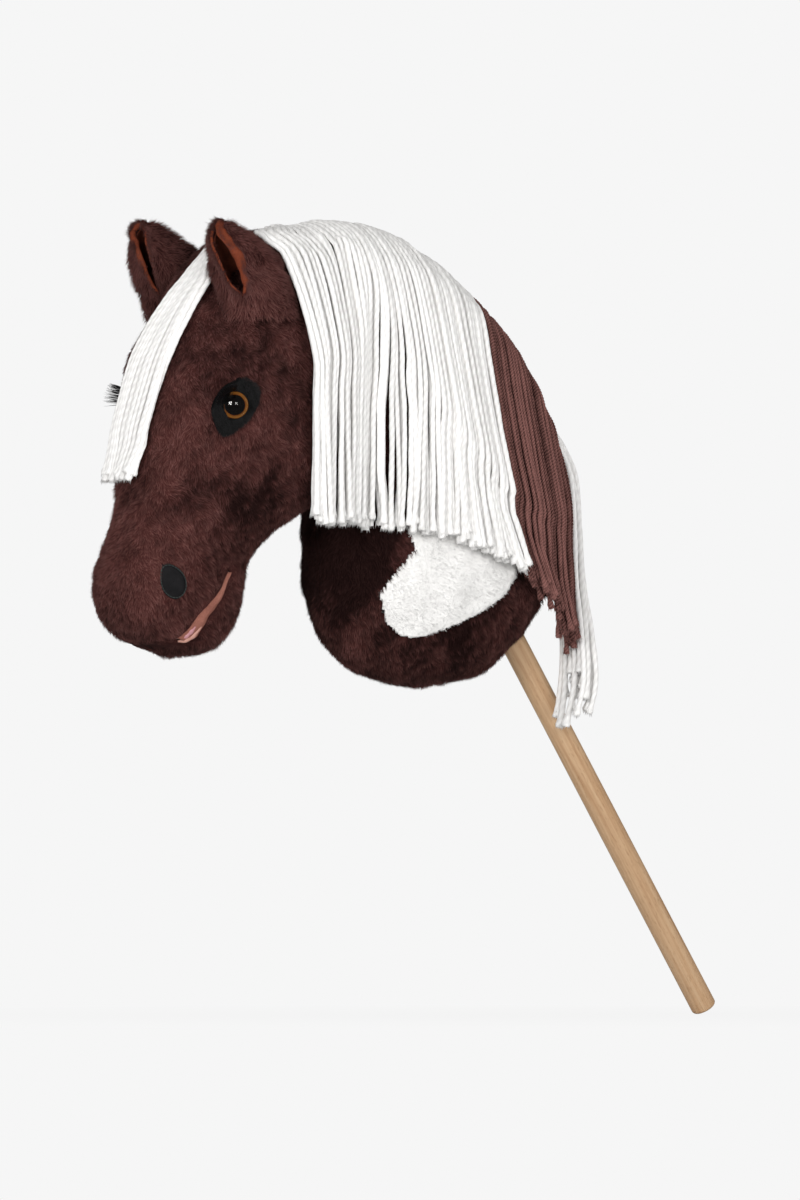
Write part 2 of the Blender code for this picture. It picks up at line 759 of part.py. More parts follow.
def lash_band(side, front):
    """A flaring strip round the upper front of the eye."""
    near, far = EYE_DIAMETER / 2 + 2 * GAP, EYE_DIAMETER / 2 + LASH_REACH
    section = np.array(
        (
            (near, front + GAP),
            (far, front + GAP + LASH_RISE),
            (far, front + GAP + LASH_RISE + LASH_THICK),
            (near, front + GAP + LASH_THICK),
        )
    )
    turn = np.radians(np.linspace(LASH_FROM, LASH_TO, LASH_STEPS))[:, None]
    x = -side * np.cos(turn) * section[:, 0]
    y = np.sin(turn) * section[:, 0]
    rings = np.stack([x, y, np.repeat(section[None, :, 1], LASH_STEPS, 0)], -1)
    mesh = mesh_of(*skin_grid(rings, rings[0].mean(0), rings[-1].mean(0)))
    mesh.transform(eye_place(side))
    return mesh


def make_nostrils():
    for side, name in ((-1, "left"), (1, "right")):
        tilt = Matrix.Rotation(math.radians(-side * NOSTRIL_TILT), 4, "Z")
        place = nostril_place(side) @ tilt

        def oval(shrink):
            w, h = NOSTRIL_WIDTH / 2 - shrink, NOSTRIL_HEIGHT / 2 - shrink
            turn = np.arange(NOSTRIL_SIDES) * 2 * math.pi / NOSTRIL_SIDES
            outline = [(w * math.cos(a), h * math.sin(a)) for a in turn]
            return prism(outline, -NOSTRIL_REACH, NOSTRIL_REACH, place)

        ring = within(head.layer(GAP + STITCH_THICK), oval(0))
        ring = minus(ring, head.layer(GAP), oval(STITCH_WIDTH))
        piece(f"nostril_stitching_{name}", ring, THREAD_GREY, 0.6)
        felt = minus(within(head.layer(GAP + FELT), oval(STITCH_WIDTH + GAP)), head.layer(GAP))
        piece(f"nostril_felt_{name}", felt, FELT_BLACK)


# Ears


def ear_cup(centre, shrink):
    """The ear's outside at a distance inside its surface, without its opening."""
    table = curve_through(EAR_ROWS, 1)
    share = table[1:-1, 2]
    turn = np.arange(EAR_SIDES) * 2 * math.pi / EAR_SIDES
    wide = np.maximum(EAR_HALF_WIDTH * share - shrink, EAR_HALF_WIDTH * EAR_LEAST)[:, None]
    deep = np.maximum(EAR_HALF_DEPTH * share - shrink, EAR_HALF_WIDTH * EAR_LEAST)[:, None]
    x = centre.x + table[1:-1, 1, None] * MM + deep * np.cos(turn)
    y = centre.y + wide * np.sin(turn)
    z = np.repeat(centre.z + table[1:-1, :1] * (EAR_HEIGHT - shrink), EAR_SIDES, 1)
    ends = [
        (centre.x + row[1] * MM, centre.y, centre.z + row[0] * (EAR_HEIGHT - shrink))
        for row in (table[0], table[-1])
    ]
    return mesh_of(*skin_grid(np.stack([x, y, z], -1), *ends))


def ear_opening(centre, shift):
    rise = EAR_HEIGHT / (EAR_RIM_HEIGHT * MM)
    outline = [(x + shift / MM, z * rise) for x, z in EAR_RIM]
    mesh = side_prism(outline, -SPACE, SPACE)
    mesh.transform(Matrix.Translation(centre) @ Matrix.Rotation(math.radians(EAR_TURN), 4, "Z"))
    return mesh


def head_swept(centre, offset):
    """The head as the ear meets it, turned about the ear's hinge through its whole swing."""
    turns = []
    for angle in (-EAR_SWING, -EAR_SWING / 2, 0, EAR_SWING / 2, EAR_SWING):
        mesh = head.layer(offset)
        turn = Matrix.Rotation(math.radians(angle), 4, "Y")
        mesh.transform(Matrix.Translation(centre) @ turn @ Matrix.Translation(-centre))
        turns.append(mesh)
    return turns


def ear_centre(side):
    point, _ = side_seat(EAR_X, EAR_Z, side)
    return point - Vector((0, side * EAR_INSET, 0))


def make_ears():
    for side, name in ((-1, "left"), (1, "right")):
        centre = ear_centre(side)
        sweep = head_swept(centre, GAP)
        outer = minus(ear_cup(centre, 0), ear_cup(centre, EAR_WALL), ear_opening(centre, 0), *sweep)
        piece(f"ear_{name}", largest_piece(outer), PLUSH_BROWN, origin=centre)
        lining = minus(
            ear_cup(centre, EAR_WALL + GAP),
            ear_cup(centre, EAR_WALL + GAP + EAR_LINING),
            ear_opening(centre, EAR_SETBACK),
            *sweep,
        )
        piece(f"ear_lining_{name}", largest_piece(lining), LINING_RUST, origin=centre)


# Mane and forelock

cover_trees = [tree_of(head.layer(TAPE_THICK + GAP)), tree_of(neck.layer(TAPE_THICK + GAP))]


def crest_height(x):
    return outermost(cover_trees, (x, OFF_EDGE, 2 * SPACE), (0, 0, -1))[0].z


def make_tape():
    top = 2 * SPACE / MM
    outline = TAPE_BELOW + ((top, TAPE_BELOW[-1][1]), (top, top), (TAPE_BELOW[0][0], top))
    strip = side_prism(outline, -TAPE_WIDTH / 2, TAPE_WIDTH / 2)
    tape = minus(within(neck.layer(GAP + TAPE_THICK), strip), neck.layer(GAP), head.layer(GAP))
    piece("mane_tape", largest_piece(tape), YARN_WHITE)


def hung(spots, angles, clear, tip):
    """The inner line of yarn that hangs over spots of the cover, in a plane.

    Lines at these angles each touch the outermost spot, so the yarn stays outside. The line turns where they
    cross, and the last one runs down to the tip. Each row holds the place across, z and the way out.
    """
    outs = np.stack([-np.cos(angles), np.sin(angles)], 1)
    support = (outs @ np.array(spots).T).max(1) + clear
    rows = []
    for i in range(len(outs) - 1):
        corner = np.linalg.solve(outs[i : i + 2], support[i : i + 2])
        out = outs[i] + outs[i + 1]
        rows.append((*corner, *(out * 2 / (out @ out))))
    low = rows[-1][1]
    for share in BELOW_BULGE:
        z = low + (tip - low) * share
        rows.append(((outs[-1, 1] * z - support[-1]) / -outs[-1, 0], z, *outs[-1]))
    return support, np.array(rows)


def drape(x, tip):
    """The yarn's inner line in the plane of x, over the near side's bulge and then straight down."""
    top = crest_height(x)
    reach = []
    for z in np.linspace(tip, top - BELOW_CREST, HUNG_ROWS):
        point, _ = outermost(cover_trees, (x, -SPACE, z), (0, 1, 0))
        if point and point.y < 0:
            reach.append((point.y, z))
    widest = min(reach)[1]
    spots = reach + [(0.0, top)]
    for angle in np.radians(np.arange(CREST_TURN, 90, CREST_TURN)):
        out = Vector((0, -math.cos(angle), math.sin(angle)))
        point, _ = outermost(cover_trees, Vector((x, 0, widest)) + out * SPACE, -out)
        spots.append((point.y, point.z))
    fall = (crest_height(x - CREST_STEP) - crest_height(x + CREST_STEP)) / (2 * CREST_STEP)
    support, rows = hung(spots, DRAPE_ANGLES, MANE_CLEAR * math.hypot(1, min(fall, STEEPEST)), tip)
    return np.vstack([[(0.0, support[0], 0.0, 1.0)], rows])


def make_mane_section(name, start, end, tip_front, tip_back):
    ridges = [row[2] * MM for row in NECK_ROWS if start < row[2] * MM < end]
    inner, outer = [], []
    for x in sorted([*np.linspace(start, end, MANE_COLUMNS), *ridges]):
        share = (x - start) / (end - start)
        rows = drape(x, tip_front + (tip_back - tip_front) * share)
        down = np.clip((rows[0, 1] - rows[:, 1]) / (rows[0, 1] - rows[-1, 1]), 0, 1)
        thick = MANE_ROOT + (MANE_THICK - MANE_ROOT) * np.clip(down * 3, 0, 1)
        stray = np.interp(x, *zip(*MANE_STRAY))
        xs = x + stray * ((rows[0, 1] - rows[:, 1]) / MANE_DROP) ** 2
        inner.append(np.stack([xs, rows[:, 0], rows[:, 1]], 1))
        outer.append(inner[-1] + np.stack([0 * xs, rows[:, 2], rows[:, 3]], 1) * thick[:, None])
    inner, outer = np.array(inner), np.array(outer)
    rings = np.concatenate([inner, outer[:, ::-1]], 1)
    count, around = rings.shape[:2]
    points = rings.reshape(-1, 3)
    at = np.arange(count * around).reshape(count, around)
    near = np.roll(at, -1, 1)
    a, b, c, d = at[:-1].ravel(), near[:-1].ravel(), near[1:].ravel(), at[1:].ravel()
    faces = np.vstack([np.stack([a, b, c], 1), np.stack([a, c, d], 1)]).tolist()
    half = around // 2
    for row in (0, count - 1):
        for i in range(half - 1):
            j = around - 1 - i
            faces.append([int(at[row, i]), int(at[row, i + 1]), int(at[row, j - 1]), int(at[row, j])])
    root = (inner[0, 0] + inner[-1, 0]) / 2
    piece(name, mesh_of(points, faces), YARN_BROWN if "brown" in name else YARN_WHITE, origin=tuple(root))


def make_mane():
    edges = [row[1] for row in MANE_SECTIONS] + [MANE_END]
    for (name, start, tip_front, tip_back), next_start in zip(MANE_SECTIONS, edges[1:]):
        make_mane_section(name, start, next_start - MANE_GAP, tip_front, tip_back)
    rings = []
    for z, x0, x1, y0, y1 in REAR_ROWS:
        mid, half = ((x0 + x1) / 2, (y0 + y1) / 2), ((x1 - x0) / 2, (y0 - y1) / 2)
        turn = np.arange(REAR_SIDES) * 2 * math.pi / REAR_SIDES
        ahead = np.sign(np.cos(turn)) * np.abs(np.cos(turn)) ** REAR_SQUARE
        aside = np.sign(np.sin(turn)) * np.abs(np.sin(turn)) ** REAR_SQUARE
        rings.append(np.stack([mid[0] + half[0] * ahead, mid[1] + half[1] * aside, 0 * turn + z], -1))
    rings = np.array(rings) * MM
    mesh = mesh_of(*skin_grid(rings, rings[0].mean(0), rings[-1].mean(0)))
    root = rings[0].mean(0)
    piece("mane_white_rear", mesh, YARN_WHITE, origin=tuple(root))


def make_forelock():
    """Yarn from the poll over the face, wider and a little off it at the tips."""
    spots = []
    for z in np.linspace(FORELOCK_TIP_Z, FORELOCK_ROOT_Z, HUNG_ROWS):
        for y in np.linspace(-FORELOCK_TIP_WIDTH / 2, FORELOCK_TIP_WIDTH / 2, FORELOCK_COLUMNS):
            point, _ = outermost([head_tree], (-2 * SPACE, y + OFF_EDGE, z), (1, 0, 0))
            spots.append((point.x, z))
    _, rows = hung(spots, FORELOCK_ANGLES, FORELOCK_CLEAR, FORELOCK_TIP_Z)
    first = rows[0].copy()
    first[:2] += (FORELOCK_ROOT_Z - first[1]) * np.array((math.tan(FORELOCK_ANGLES[0]), 1.0))
    rows = np.vstack([[first], rows])
    down = (rows[0, 1] - rows[:, 1]) / (rows[0, 1] - rows[-1, 1])
    half = (FORELOCK_ROOT_WIDTH + (FORELOCK_TIP_WIDTH - FORELOCK_ROOT_WIDTH) * down**0.8) / 2
    thick = FORELOCK_ROOT_THICK + (FORELOCK_THICK - FORELOCK_ROOT_THICK) * np.clip(down * 3, 0, 1)
    across = np.linspace(-1, 1, FORELOCK_COLUMNS)
    x = np.repeat(rows[:, :1] - FORELOCK_STRAY * down[:, None] ** 2, FORELOCK_COLUMNS, 1)
    inner = np.stack([x, half[:, None] * across, np.repeat(rows[:, 1:2], FORELOCK_COLUMNS, 1)], -1)
    outer = inner + rows[:, None, [2, 2, 3]] * thick[:, None, None] * np.array((1, 0, 1))
    rings = np.concatenate([inner, outer[:, ::-1]], 1)
    mesh = mesh_of(*skin_grid(rings, rings[0].mean(0), rings[-1].mean(0)))
    piece("forelock", mesh, YARN_WHITE, origin=tuple(inner[0].mean(0)))


make_stick()
make_sleeve()
make_tie()
make_stuffing()
make_head_cover()
make_mouth()
make_neck_cover()
make_eyes()
make_nostrils()
make_ears()
make_tape()
make_mane()
make_forelock()
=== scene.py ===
"""Hobby horse: plush head and neck, yarn mane and forelock, on a beech stick.

The horse faces -X, its near side is -Y and +Z is up. Lengths are in metres, outline tables in millimetres.
Every new surface is worked out with numpy as a function of two parameters, or as a profile along a path.
"""

import math

import bpy
import numpy as np
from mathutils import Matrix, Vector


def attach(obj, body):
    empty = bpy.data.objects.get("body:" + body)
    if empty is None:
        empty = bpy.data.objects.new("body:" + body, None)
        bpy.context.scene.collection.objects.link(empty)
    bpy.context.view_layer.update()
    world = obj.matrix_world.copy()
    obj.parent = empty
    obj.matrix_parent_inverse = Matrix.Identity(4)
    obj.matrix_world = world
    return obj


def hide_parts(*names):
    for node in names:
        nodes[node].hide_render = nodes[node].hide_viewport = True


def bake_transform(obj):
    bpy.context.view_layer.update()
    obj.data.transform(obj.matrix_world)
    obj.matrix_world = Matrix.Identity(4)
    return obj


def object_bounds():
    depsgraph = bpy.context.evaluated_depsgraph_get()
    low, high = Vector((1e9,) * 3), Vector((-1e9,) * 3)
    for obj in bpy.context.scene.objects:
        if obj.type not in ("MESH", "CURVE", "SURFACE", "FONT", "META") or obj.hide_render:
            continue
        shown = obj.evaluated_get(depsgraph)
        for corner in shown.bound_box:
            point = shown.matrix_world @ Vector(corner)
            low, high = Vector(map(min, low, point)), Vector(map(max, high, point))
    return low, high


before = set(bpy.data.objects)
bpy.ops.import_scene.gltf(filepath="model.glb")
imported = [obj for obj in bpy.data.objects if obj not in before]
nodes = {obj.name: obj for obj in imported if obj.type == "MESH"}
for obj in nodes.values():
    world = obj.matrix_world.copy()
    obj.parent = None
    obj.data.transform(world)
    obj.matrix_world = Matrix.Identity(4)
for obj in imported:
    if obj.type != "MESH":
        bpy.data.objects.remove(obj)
cad_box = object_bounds()
scene = bpy.context.scene

MM = 0.001
TURN = 2 * math.pi
# The way that each side's angles turn round a ring, and the side of y that it lies on
TURNS = ((1, "left"), (-1, "right"))
SIDES = ((-1, "left"), (1, "right"))

# Rows of the stuffed forms: front x and z, back x and z, share of half width, narrowing in front, squareness
HEAD_WIDTH = 0.148
HEAD_ROWS = (
    (-318, 408, -318, 408, 0.00, 0.00, 1.00), (-351, 398, -280, 400, 0.45, 0.00, 1.00),
    (-378, 379, -248, 374, 0.70, 0.02, 0.95), (-402, 350, -231, 328, 0.86, 0.02, 0.92),
    (-421, 318, -226, 290, 0.95, 0.01, 0.88), (-434, 286, -232, 252, 0.99, 0.01, 0.86),
    (-443, 255, -241, 218, 1.00, 0.06, 0.86), (-449, 224, -256, 188, 0.96, 0.14, 0.88),
    (-454, 192, -280, 160, 0.87, 0.16, 0.90), (-461, 161, -312, 141, 0.74, 0.08, 0.90),
    (-470, 132, -329, 120, 0.67, 0.00, 0.88), (-477, 106, -335, 96, 0.66, -0.08, 0.85),
    (-475, 83, -341, 74, 0.64, -0.10, 0.85), (-463, 62, -354, 53, 0.57, -0.10, 0.85),
    (-443, 47, -373, 40, 0.42, -0.05, 0.90), (-408, 33, -408, 33, 0.00, 0.00, 1.00),
)
NECK_WIDTH = 0.144
NECK_ROWS = (
    (-132, 8, -132, 8, 0.00, 0.00, 1.00), (-188, 17, -78, 22, 0.45, 0.00, 1.00),
    (-222, 36, -45, 45, 0.75, 0.00, 1.00), (-242, 65, -16, 77, 0.92, 0.00, 0.95),
    (-248, 99, 2, 108, 0.99, -0.03, 0.92), (-250, 138, 8, 147, 1.00, -0.08, 0.92),
    (-250, 181, 6, 190, 0.96, -0.15, 0.92), (-252, 224, -7, 237, 0.89, -0.20, 0.95),
    (-256, 266, -31, 287, 0.82, -0.25, 1.00), (-267, 302, -70, 335, 0.75, -0.28, 1.00),
    (-282, 330, -124, 374, 0.67, -0.28, 1.00), (-298, 350, -186, 398, 0.58, -0.25, 1.00),
    (-312, 372, -248, 407, 0.46, -0.15, 1.00), (-298, 397, -298, 397, 0.00, 0.00, 1.00),
)
# Relief: x, distance from the middle, z, radius, height, all in millimetres
HEAD_RELIEF = (
    (-390, 68, 250, 17, -4.6), (-418, 47, 290, 17, 4.6), (-368, 68, 286, 15, 2.6), (-345, 72, 232, 20, 2.0),
    (-300, 72, 205, 34, 4.0), (-262, 50, 250, 26, -2.4), (-442, 46, 100, 17, 3.0), (-464, 18, 92, 22, 1.8),
    (-424, 46, 165, 17, -3.0), (-395, 55, 185, 15, 1.8), (-360, 52, 150, 18, -2.2), (-378, 48, 116, 9, -3.0),
    (-428, 0, 262, 26, 1.6), (-380, 34, 74, 15, 2.2), (-360, 66, 322, 9, -2.4),
)
NECK_RELIEF = (
    (-205, 60, 110, 34, 2.6), (-150, 66, 60, 26, -1.8), (-120, 64, 92, 30, 2.2), (-60, 68, 170, 45, 1.6),
    (-90, 40, 40, 24, 2.0),
)
# Painted light and shade in the pile's colour, sheen where the lamps catch the nap and shade where they miss
# it: x, distance from the middle, z, radius, gain
HEAD_PAINTED_LIGHT_AND_SHADE = (
    (-452, 20, 130, 38, 0.26), (-440, 30, 210, 34, 0.22), (-420, 35, 285, 22, 0.05), (-300, 66, 330, 22, 0.24),
    (-318, 66, 300, 12, 0.26), (-388, 66, 285, 16, -0.24), (-345, 70, 215, 24, 0.1), (-350, 60, 168, 24, -0.26),
    (-336, 70, 207, 18, 0.12), (-397, 62, 177, 17, -0.34), (-300, 70, 240, 24, -0.1), (-275, 60, 195, 20, 0.1),
    (-395, 58, 219, 14, 0.12), (-418, 46, 165, 13, -0.12), (-400, 46, 130, 18, 0.14), (-390, 40, 75, 16, 0.10),
    (-360, 34, 60, 18, 0.06), (-455, 34, 70, 18, 0.16),
)
# The strongest spot, at the neck's front under the head, is the head's shadow painted in; the darker spots low
# on the neck are painted shade
NECK_PAINTED_LIGHT_AND_SHADE = (
    (-245, 30, 130, 36, -0.7), (-235, 20, 90, 30, -0.22), (-205, 62, 110, 22, 0.04), (-150, 60, 50, 36, -0.16),
    (-225, 50, 60, 26, 0.14), (-70, 66, 70, 30, -0.10), (-120, 40, 22, 22, 0.06), (-177, 58, 33, 32, -0.14),
)
SKIN_DEPTH, SKIN_THICK = 0.0040, 0.0018
GUSSET_WIDTH = 0.034
MOUTH_LINE = (
    (-371, 110), (-383, 96), (-394, 84), (-402, 74), (-407, 65),
    (-412, 57), (-420, 51), (-428, 48), (-480, 42),
)
MOUTH_WIDTHS = (2.6, 3.8, 5.0, 6.8, 9.2, 10.5, 6.5, 0.6, 0.2)
CHIN_SEAM = ((-384, 112), (-352, 118), (-318, 124))
BASE_SEAM = ((-280, 62), (-180, 30), (-90, 34), (20, 84))
WHITE_PATCH = (
    (-197, 147), (-190, 131), (-204, 113), (-219, 92), (-210, 69), (-192, 55), (-176, 54), (-164, 58),
    (-140, 66), (-114, 79), (-97, 90), (-80, 108), (-92, 138), (-135, 162), (-178, 164),
)
STICK_RADIUS, STICK_BELOW, STICK_ABOVE = 0.011, 0.321, 0.375
STICK_LEAN = math.radians(33.6)
STICK_UP = np.array((-math.sin(STICK_LEAN), 0, math.cos(STICK_LEAN)))


# Curves, grids and meshes


def through(rows, t):
    """Rows of numbers at t, which is 0 at the first row and one more at each next (Catmull-Rom)."""
    rows = np.asarray(rows, float)
    held = np.vstack([2 * rows[:1] - rows[1:2], rows, 2 * rows[-1:] - rows[-2:-1]])
    t = np.clip(np.asarray(t, float), 0, len(rows) - 1)
    at = np.minimum(t.astype(int), len(rows) - 2)
    f = (t - at)[..., None]
    a, b, c, d = held[at], held[at + 1], held[at + 2], held[at + 3]
    return 0.5 * (2 * b + (c - a) * f + (2 * a - 5 * b + 4 * c - d) * f**2 + (3 * b - a - 3 * c + d) * f**3)


def read_off(x, pairs):
    """The value at x of a line through pairs of x and value."""
    return np.interp(x, *zip(*pairs))


def spots_at(points, table):
    """The sum of bell curves at the table's spots, which are mirrored to both sides."""
    folded = points * (1, 0, 1) + np.abs(points) * (0, 1, 0)
    total = 0.0
    for x, y, z, radius, height in np.array(table) * (MM, MM, MM, MM, 1):
        total = total + height * np.exp(-((folded - (x, y, z)) ** 2).sum(-1) / (2 * radius**2))
    return total


def unit(v):
    """Vectors at length one."""
    return v / np.maximum(np.linalg.norm(v, axis=-1, keepdims=True), 1e-9)


def swell(points, size, seed, waves=7):
    """A smooth random field of about -1 to 1: sine waves of about that size in seeded directions."""
    rng = np.random.default_rng(seed)
    way = unit(rng.normal(size=(waves, 3))) / (size * rng.uniform(0.6, 1.6, (waves, 1)))
    return np.sin(points @ way.T * TURN + rng.uniform(0, TURN, waves)).sum(-1) * math.sqrt(0.6 / waves)


def made(name, shape, finish, marks=None, uv=None, normals=None):
    """A mesh object of points and groups of faces, turned so that its faces point outwards."""
    points, faces = shape
    used, where = np.unique(np.concatenate([f.ravel() for f in faces]), return_inverse=True)
    sizes = np.concatenate([np.full(len(f), f.shape[1]) for f in faces])
    starts = np.concatenate([[0], np.cumsum(sizes)[:-1]])
    volume = 0.0
    for f in faces:
        for i in range(1, f.shape[1] - 1):
            volume += (points[f[:, 0]] * np.cross(points[f[:, i]], points[f[:, i + 1]])).sum()
    if volume < 0:
        place = np.repeat(2 * starts + sizes - 1, sizes) - np.arange(len(where))
        where = where[place]
        uv = None if uv is None else uv[place]
    mesh = bpy.data.meshes.new(name)
    mesh.vertices.add(len(used))
    mesh.vertices.foreach_set("co", points[used].astype(np.float32).ravel())
    mesh.loops.add(len(where))
    mesh.loops.foreach_set("vertex_index", where.astype(np.int32))
    mesh.polygons.add(len(sizes))
    mesh.polygons.foreach_set("loop_start", starts.astype(np.int32))
    mesh.update(calc_edges=True)
    mesh.shade_smooth()
    if uv is not None:
        mesh.uv_layers.new(name="UVMap").data.foreach_set("uv", uv.astype(np.float32).ravel())
    for mark, values in (marks or {}).items():
        mesh.attributes.new(mark, "FLOAT", "POINT").data.foreach_set("value", values[used].astype(np.float32))
    if normals is not None:
        mesh.normals_split_custom_set_from_vertices(normals[used].tolist())
    mesh.materials.append(finish)
    item = bpy.data.objects.new(name, mesh)
    scene.collection.objects.link(item)
    return item


def seat(item, node=None):
    """A piece rides on the body, and stands for a node where it has one."""
    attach(item, "body")
    if node:
        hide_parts(node)


def quads_of(at):
    """The four-cornered faces between the neighbours of a grid of vertex numbers."""
    return np.stack([at[:-1, :-1], at[:-1, 1:], at[1:, 1:], at[1:, :-1]], -1)


def sheet_between(outer, inner, keep=None, round_columns=False):
    """A closed sheet: the outer grid's faces, the inner grid's turned round, and a rim at each open edge."""
    count = outer.shape[0] * outer.shape[1]
    at = np.arange(count).reshape(outer.shape[:2])
    if round_columns:
        at = np.concatenate([at, at[:, :1]], 1)
    quads = quads_of(at)
    keep = np.ones(quads.shape[:2], bool) if keep is None else keep
    framed = np.pad(keep, 1)
    if round_columns:
        framed[1:-1, 0], framed[1:-1, -1] = keep[:, -1], keep[:, 0]
    beyond = framed[:-2, 1:-1], framed[1:-1, 2:], framed[2:, 1:-1], framed[1:-1, :-2]
    faces = [quads[keep], quads[keep][:, ::-1] + count]
    for edge, other in enumerate(beyond):
        p, q = quads[keep & ~other][:, [edge, (edge + 1) % 4]].T
        faces.append(np.stack([q, p, p + count, q + count], 1))
    return np.concatenate([outer.reshape(-1, 3), inner.reshape(-1, 3)]), [np.concatenate(faces)]


def closed_tube(rings):
    """Faces round rings of equal length, for many tubes at once, with a point in the middle of each end."""
    tubes, count, around = rings.shape[:3]
    at = np.arange(count * around).reshape(count, around)
    at = np.concatenate([at, at[:, :1]], 1)
    first, last = count * around, count * around + 1
    caps = [np.stack([0 * at[0, 1:] + first, at[0, 1:], at[0, :-1]], 1)]
    caps.append(np.stack([0 * at[-1, 1:] + last, at[-1, :-1], at[-1, 1:]], 1))
    ends = np.stack([rings[:, 0].mean(1), rings[:, -1].mean(1)], 1)
    points = np.concatenate([rings.reshape(tubes, -1, 3), ends], 1).reshape(-1, 3)
    shift = np.arange(tubes)[:, None, None] * (count * around + 2)
    sides = (quads_of(at).reshape(1, -1, 4) + shift).reshape(-1, 4)
    return points, [sides, (np.concatenate(caps)[None] + shift).reshape(-1, 3)]


def put(points, place):
    """Points of a local frame, put in place."""
    return points @ place[:3, :3].T + place[:3, 3]


def turned_solid(profile, sides, place):
    """A profile of radius and height turned round a local z axis, closed at its ends, then put in place."""
    profile = np.array(profile, float)
    angle = np.arange(sides) * TURN / sides
    rings = profile[:, :1, None] * np.stack([np.cos(angle), np.sin(angle), 0 * angle], -1)
    rings[..., 2] += profile[:, 1:]
    points, faces = closed_tube(rings[None])
    return put(points, place), faces


def facing(point, outward, up=(0, 0, 1)):
    """The matrix of a frame at a point: z outward, y as near up as it can be."""
    z = unit(np.array(outward, float))
    x = unit(np.cross(up, z))
    place = np.eye(4)
    place[:3, :3] = np.stack([x, np.cross(z, x), z], 1)
    place[:3, 3] = point
    return place


def spikes(roots, ways, lengths, width, rng):
    """Closed three-sided hairs: a triangle round each root and a tip, with a mark of 0 to 1 along each."""
    side = unit(np.cross(ways, rng.normal(size=ways.shape)))
    other = np.cross(unit(ways), side)
    angle = np.arange(3) * TURN / 3
    ring = side[:, None] * np.cos(angle)[:, None] + other[:, None] * np.sin(angle)[:, None]
    tips = roots + ways * lengths[:, None]
    points = np.concatenate([roots[:, None] + ring * width / 2, tips[:, None]], 1).reshape(-1, 3)
    part = np.array([(0, 2, 1), (0, 1, 3), (1, 2, 3), (2, 0, 3)])
    faces = (part[None] + 4 * np.arange(len(roots))[:, None, None]).reshape(-1, 3)
    return points, faces, np.tile((0.0, 0.0, 0.0, 1.0), len(roots))


# Finishes


class Nodes:
    """A tree of nodes, with a word for each usual one that gives its outputs, or the one that is used."""

    def __init__(self, tree):
        self.tree = tree

    def add(self, kind, settings=None, **inputs):
        """A node of a kind with its settings, its inputs set to values or linked to other nodes' outputs."""
        item = self.tree.nodes.new("ShaderNode" + kind)
        for key, value in (settings or {}).items():
            setattr(item, key, value)
        for key, value in inputs.items():
            socket = item.inputs[int(key[1:])] if key[1:].isdigit() else item.inputs[key]
            if isinstance(value, bpy.types.NodeSocket):
                self.tree.links.new(value, socket)
            else:
                socket.default_value = value
        return item.outputs

    def maths(self, operation, a, b=0.0):
        return self.add("Math", {"operation": operation}, i0=a, i1=b)[0]

    def plus(self, a, b):
        return self.maths("ADD", a, b)

    def minus(self, a, b):
        return self.maths("SUBTRACT", a, b)

    def times(self, a, b):
        return self.maths("MULTIPLY", a, b)


class Finish(Nodes):
    """A material in the making, whose nodes end in one shader."""

    def __init__(self, name):
        self.material = bpy.data.materials.new(name)
        self.material.use_nodes = True
        super().__init__(self.material.node_tree)
        self.shader = self.tree.nodes["Principled BSDF"]
        self.here, self.uv = map(self.add("TexCoord").get, ("Object", "UV"))

    def noise(self, vector, scale, detail=3.0, rough=0.55):
        return self.add("TexNoise", Vector=vector, Scale=scale, Detail=detail, Roughness=rough)[0]

    def mark(self, name):
        return self.add("Attribute", {"attribute_name": name})["Fac"]

    def ramp(self, factor, *stops):
        """Colours between stops of place and colour."""
        out = self.add("ValToRGB", i0=factor)[0]
        bar = out.node.color_ramp.elements
        while len(bar) < len(stops):
            bar.new(0.5)
        for spot, (place, colour) in zip(bar, stops):
            spot.position, spot.color = place, (*colour, 1)
        return out

    def shaded(self, colour, shade, share):
        """A colour multiplied by a shade, to a share."""
        settings = {"data_type": "RGBA", "blend_type": "MULTIPLY"}
        return self.add("Mix", settings, i0=share, i6=colour, i7=shade)[2]

    def done(self, colour, rough, bump=None, **constants):
        """The material, with its colour, its constants and a bump of height, strength and distance."""
        inputs = self.shader.inputs
        self.tree.links.new(colour, inputs["Base Color"])
        for key, value in {"Roughness": rough, **constants}.items():
            inputs[key.replace("_", " ")].default_value = value
        if bump:
            out = self.add("Bump", Strength=bump[1], Distance=bump[2], Height=bump[0])[0]
            self.tree.links.new(out, inputs["Normal"])
        return self.material


def plush(name, root, middle, tip, patchy):
    """Pile: dark at the roots, a painted shade between the hairs, light at the tips, and lighter or darker in
    spots of painted sheen and shade.

    The brightness is noise in patches of 90 and 40 mm plus the mark "nap", which the mesh brings along.
    """
    coat = Finish(name)
    fine = coat.noise(coat.here, 130.0)
    along = coat.plus(coat.mark("tip"), coat.times(coat.minus(fine, 0.5), 0.5))
    colour = coat.ramp(along, (0.0, root), (0.5, middle), (1.0, tip))
    # The mark nap brings the painted sheen and shade of the spots into the brightness
    level = coat.plus(coat.times(coat.noise(coat.here, 26.0), 0.6), coat.mark("nap"))
    level = coat.plus(level, coat.times(coat.noise(coat.here, 11.0, 2.0), 0.4))
    shades = (1 - patchy,) * 3, (1 - patchy * 0.5,) * 3, (1.0,) * 3
    colour = coat.shaded(colour, coat.ramp(level, *zip((0.15, 0.50, 0.85), shades)), 1.0)
    return coat.done(colour, 0.9, (coat.noise(coat.here, 900.0, 2.0), 0.25, 0.0006), Specular_IOR_Level=0.08)


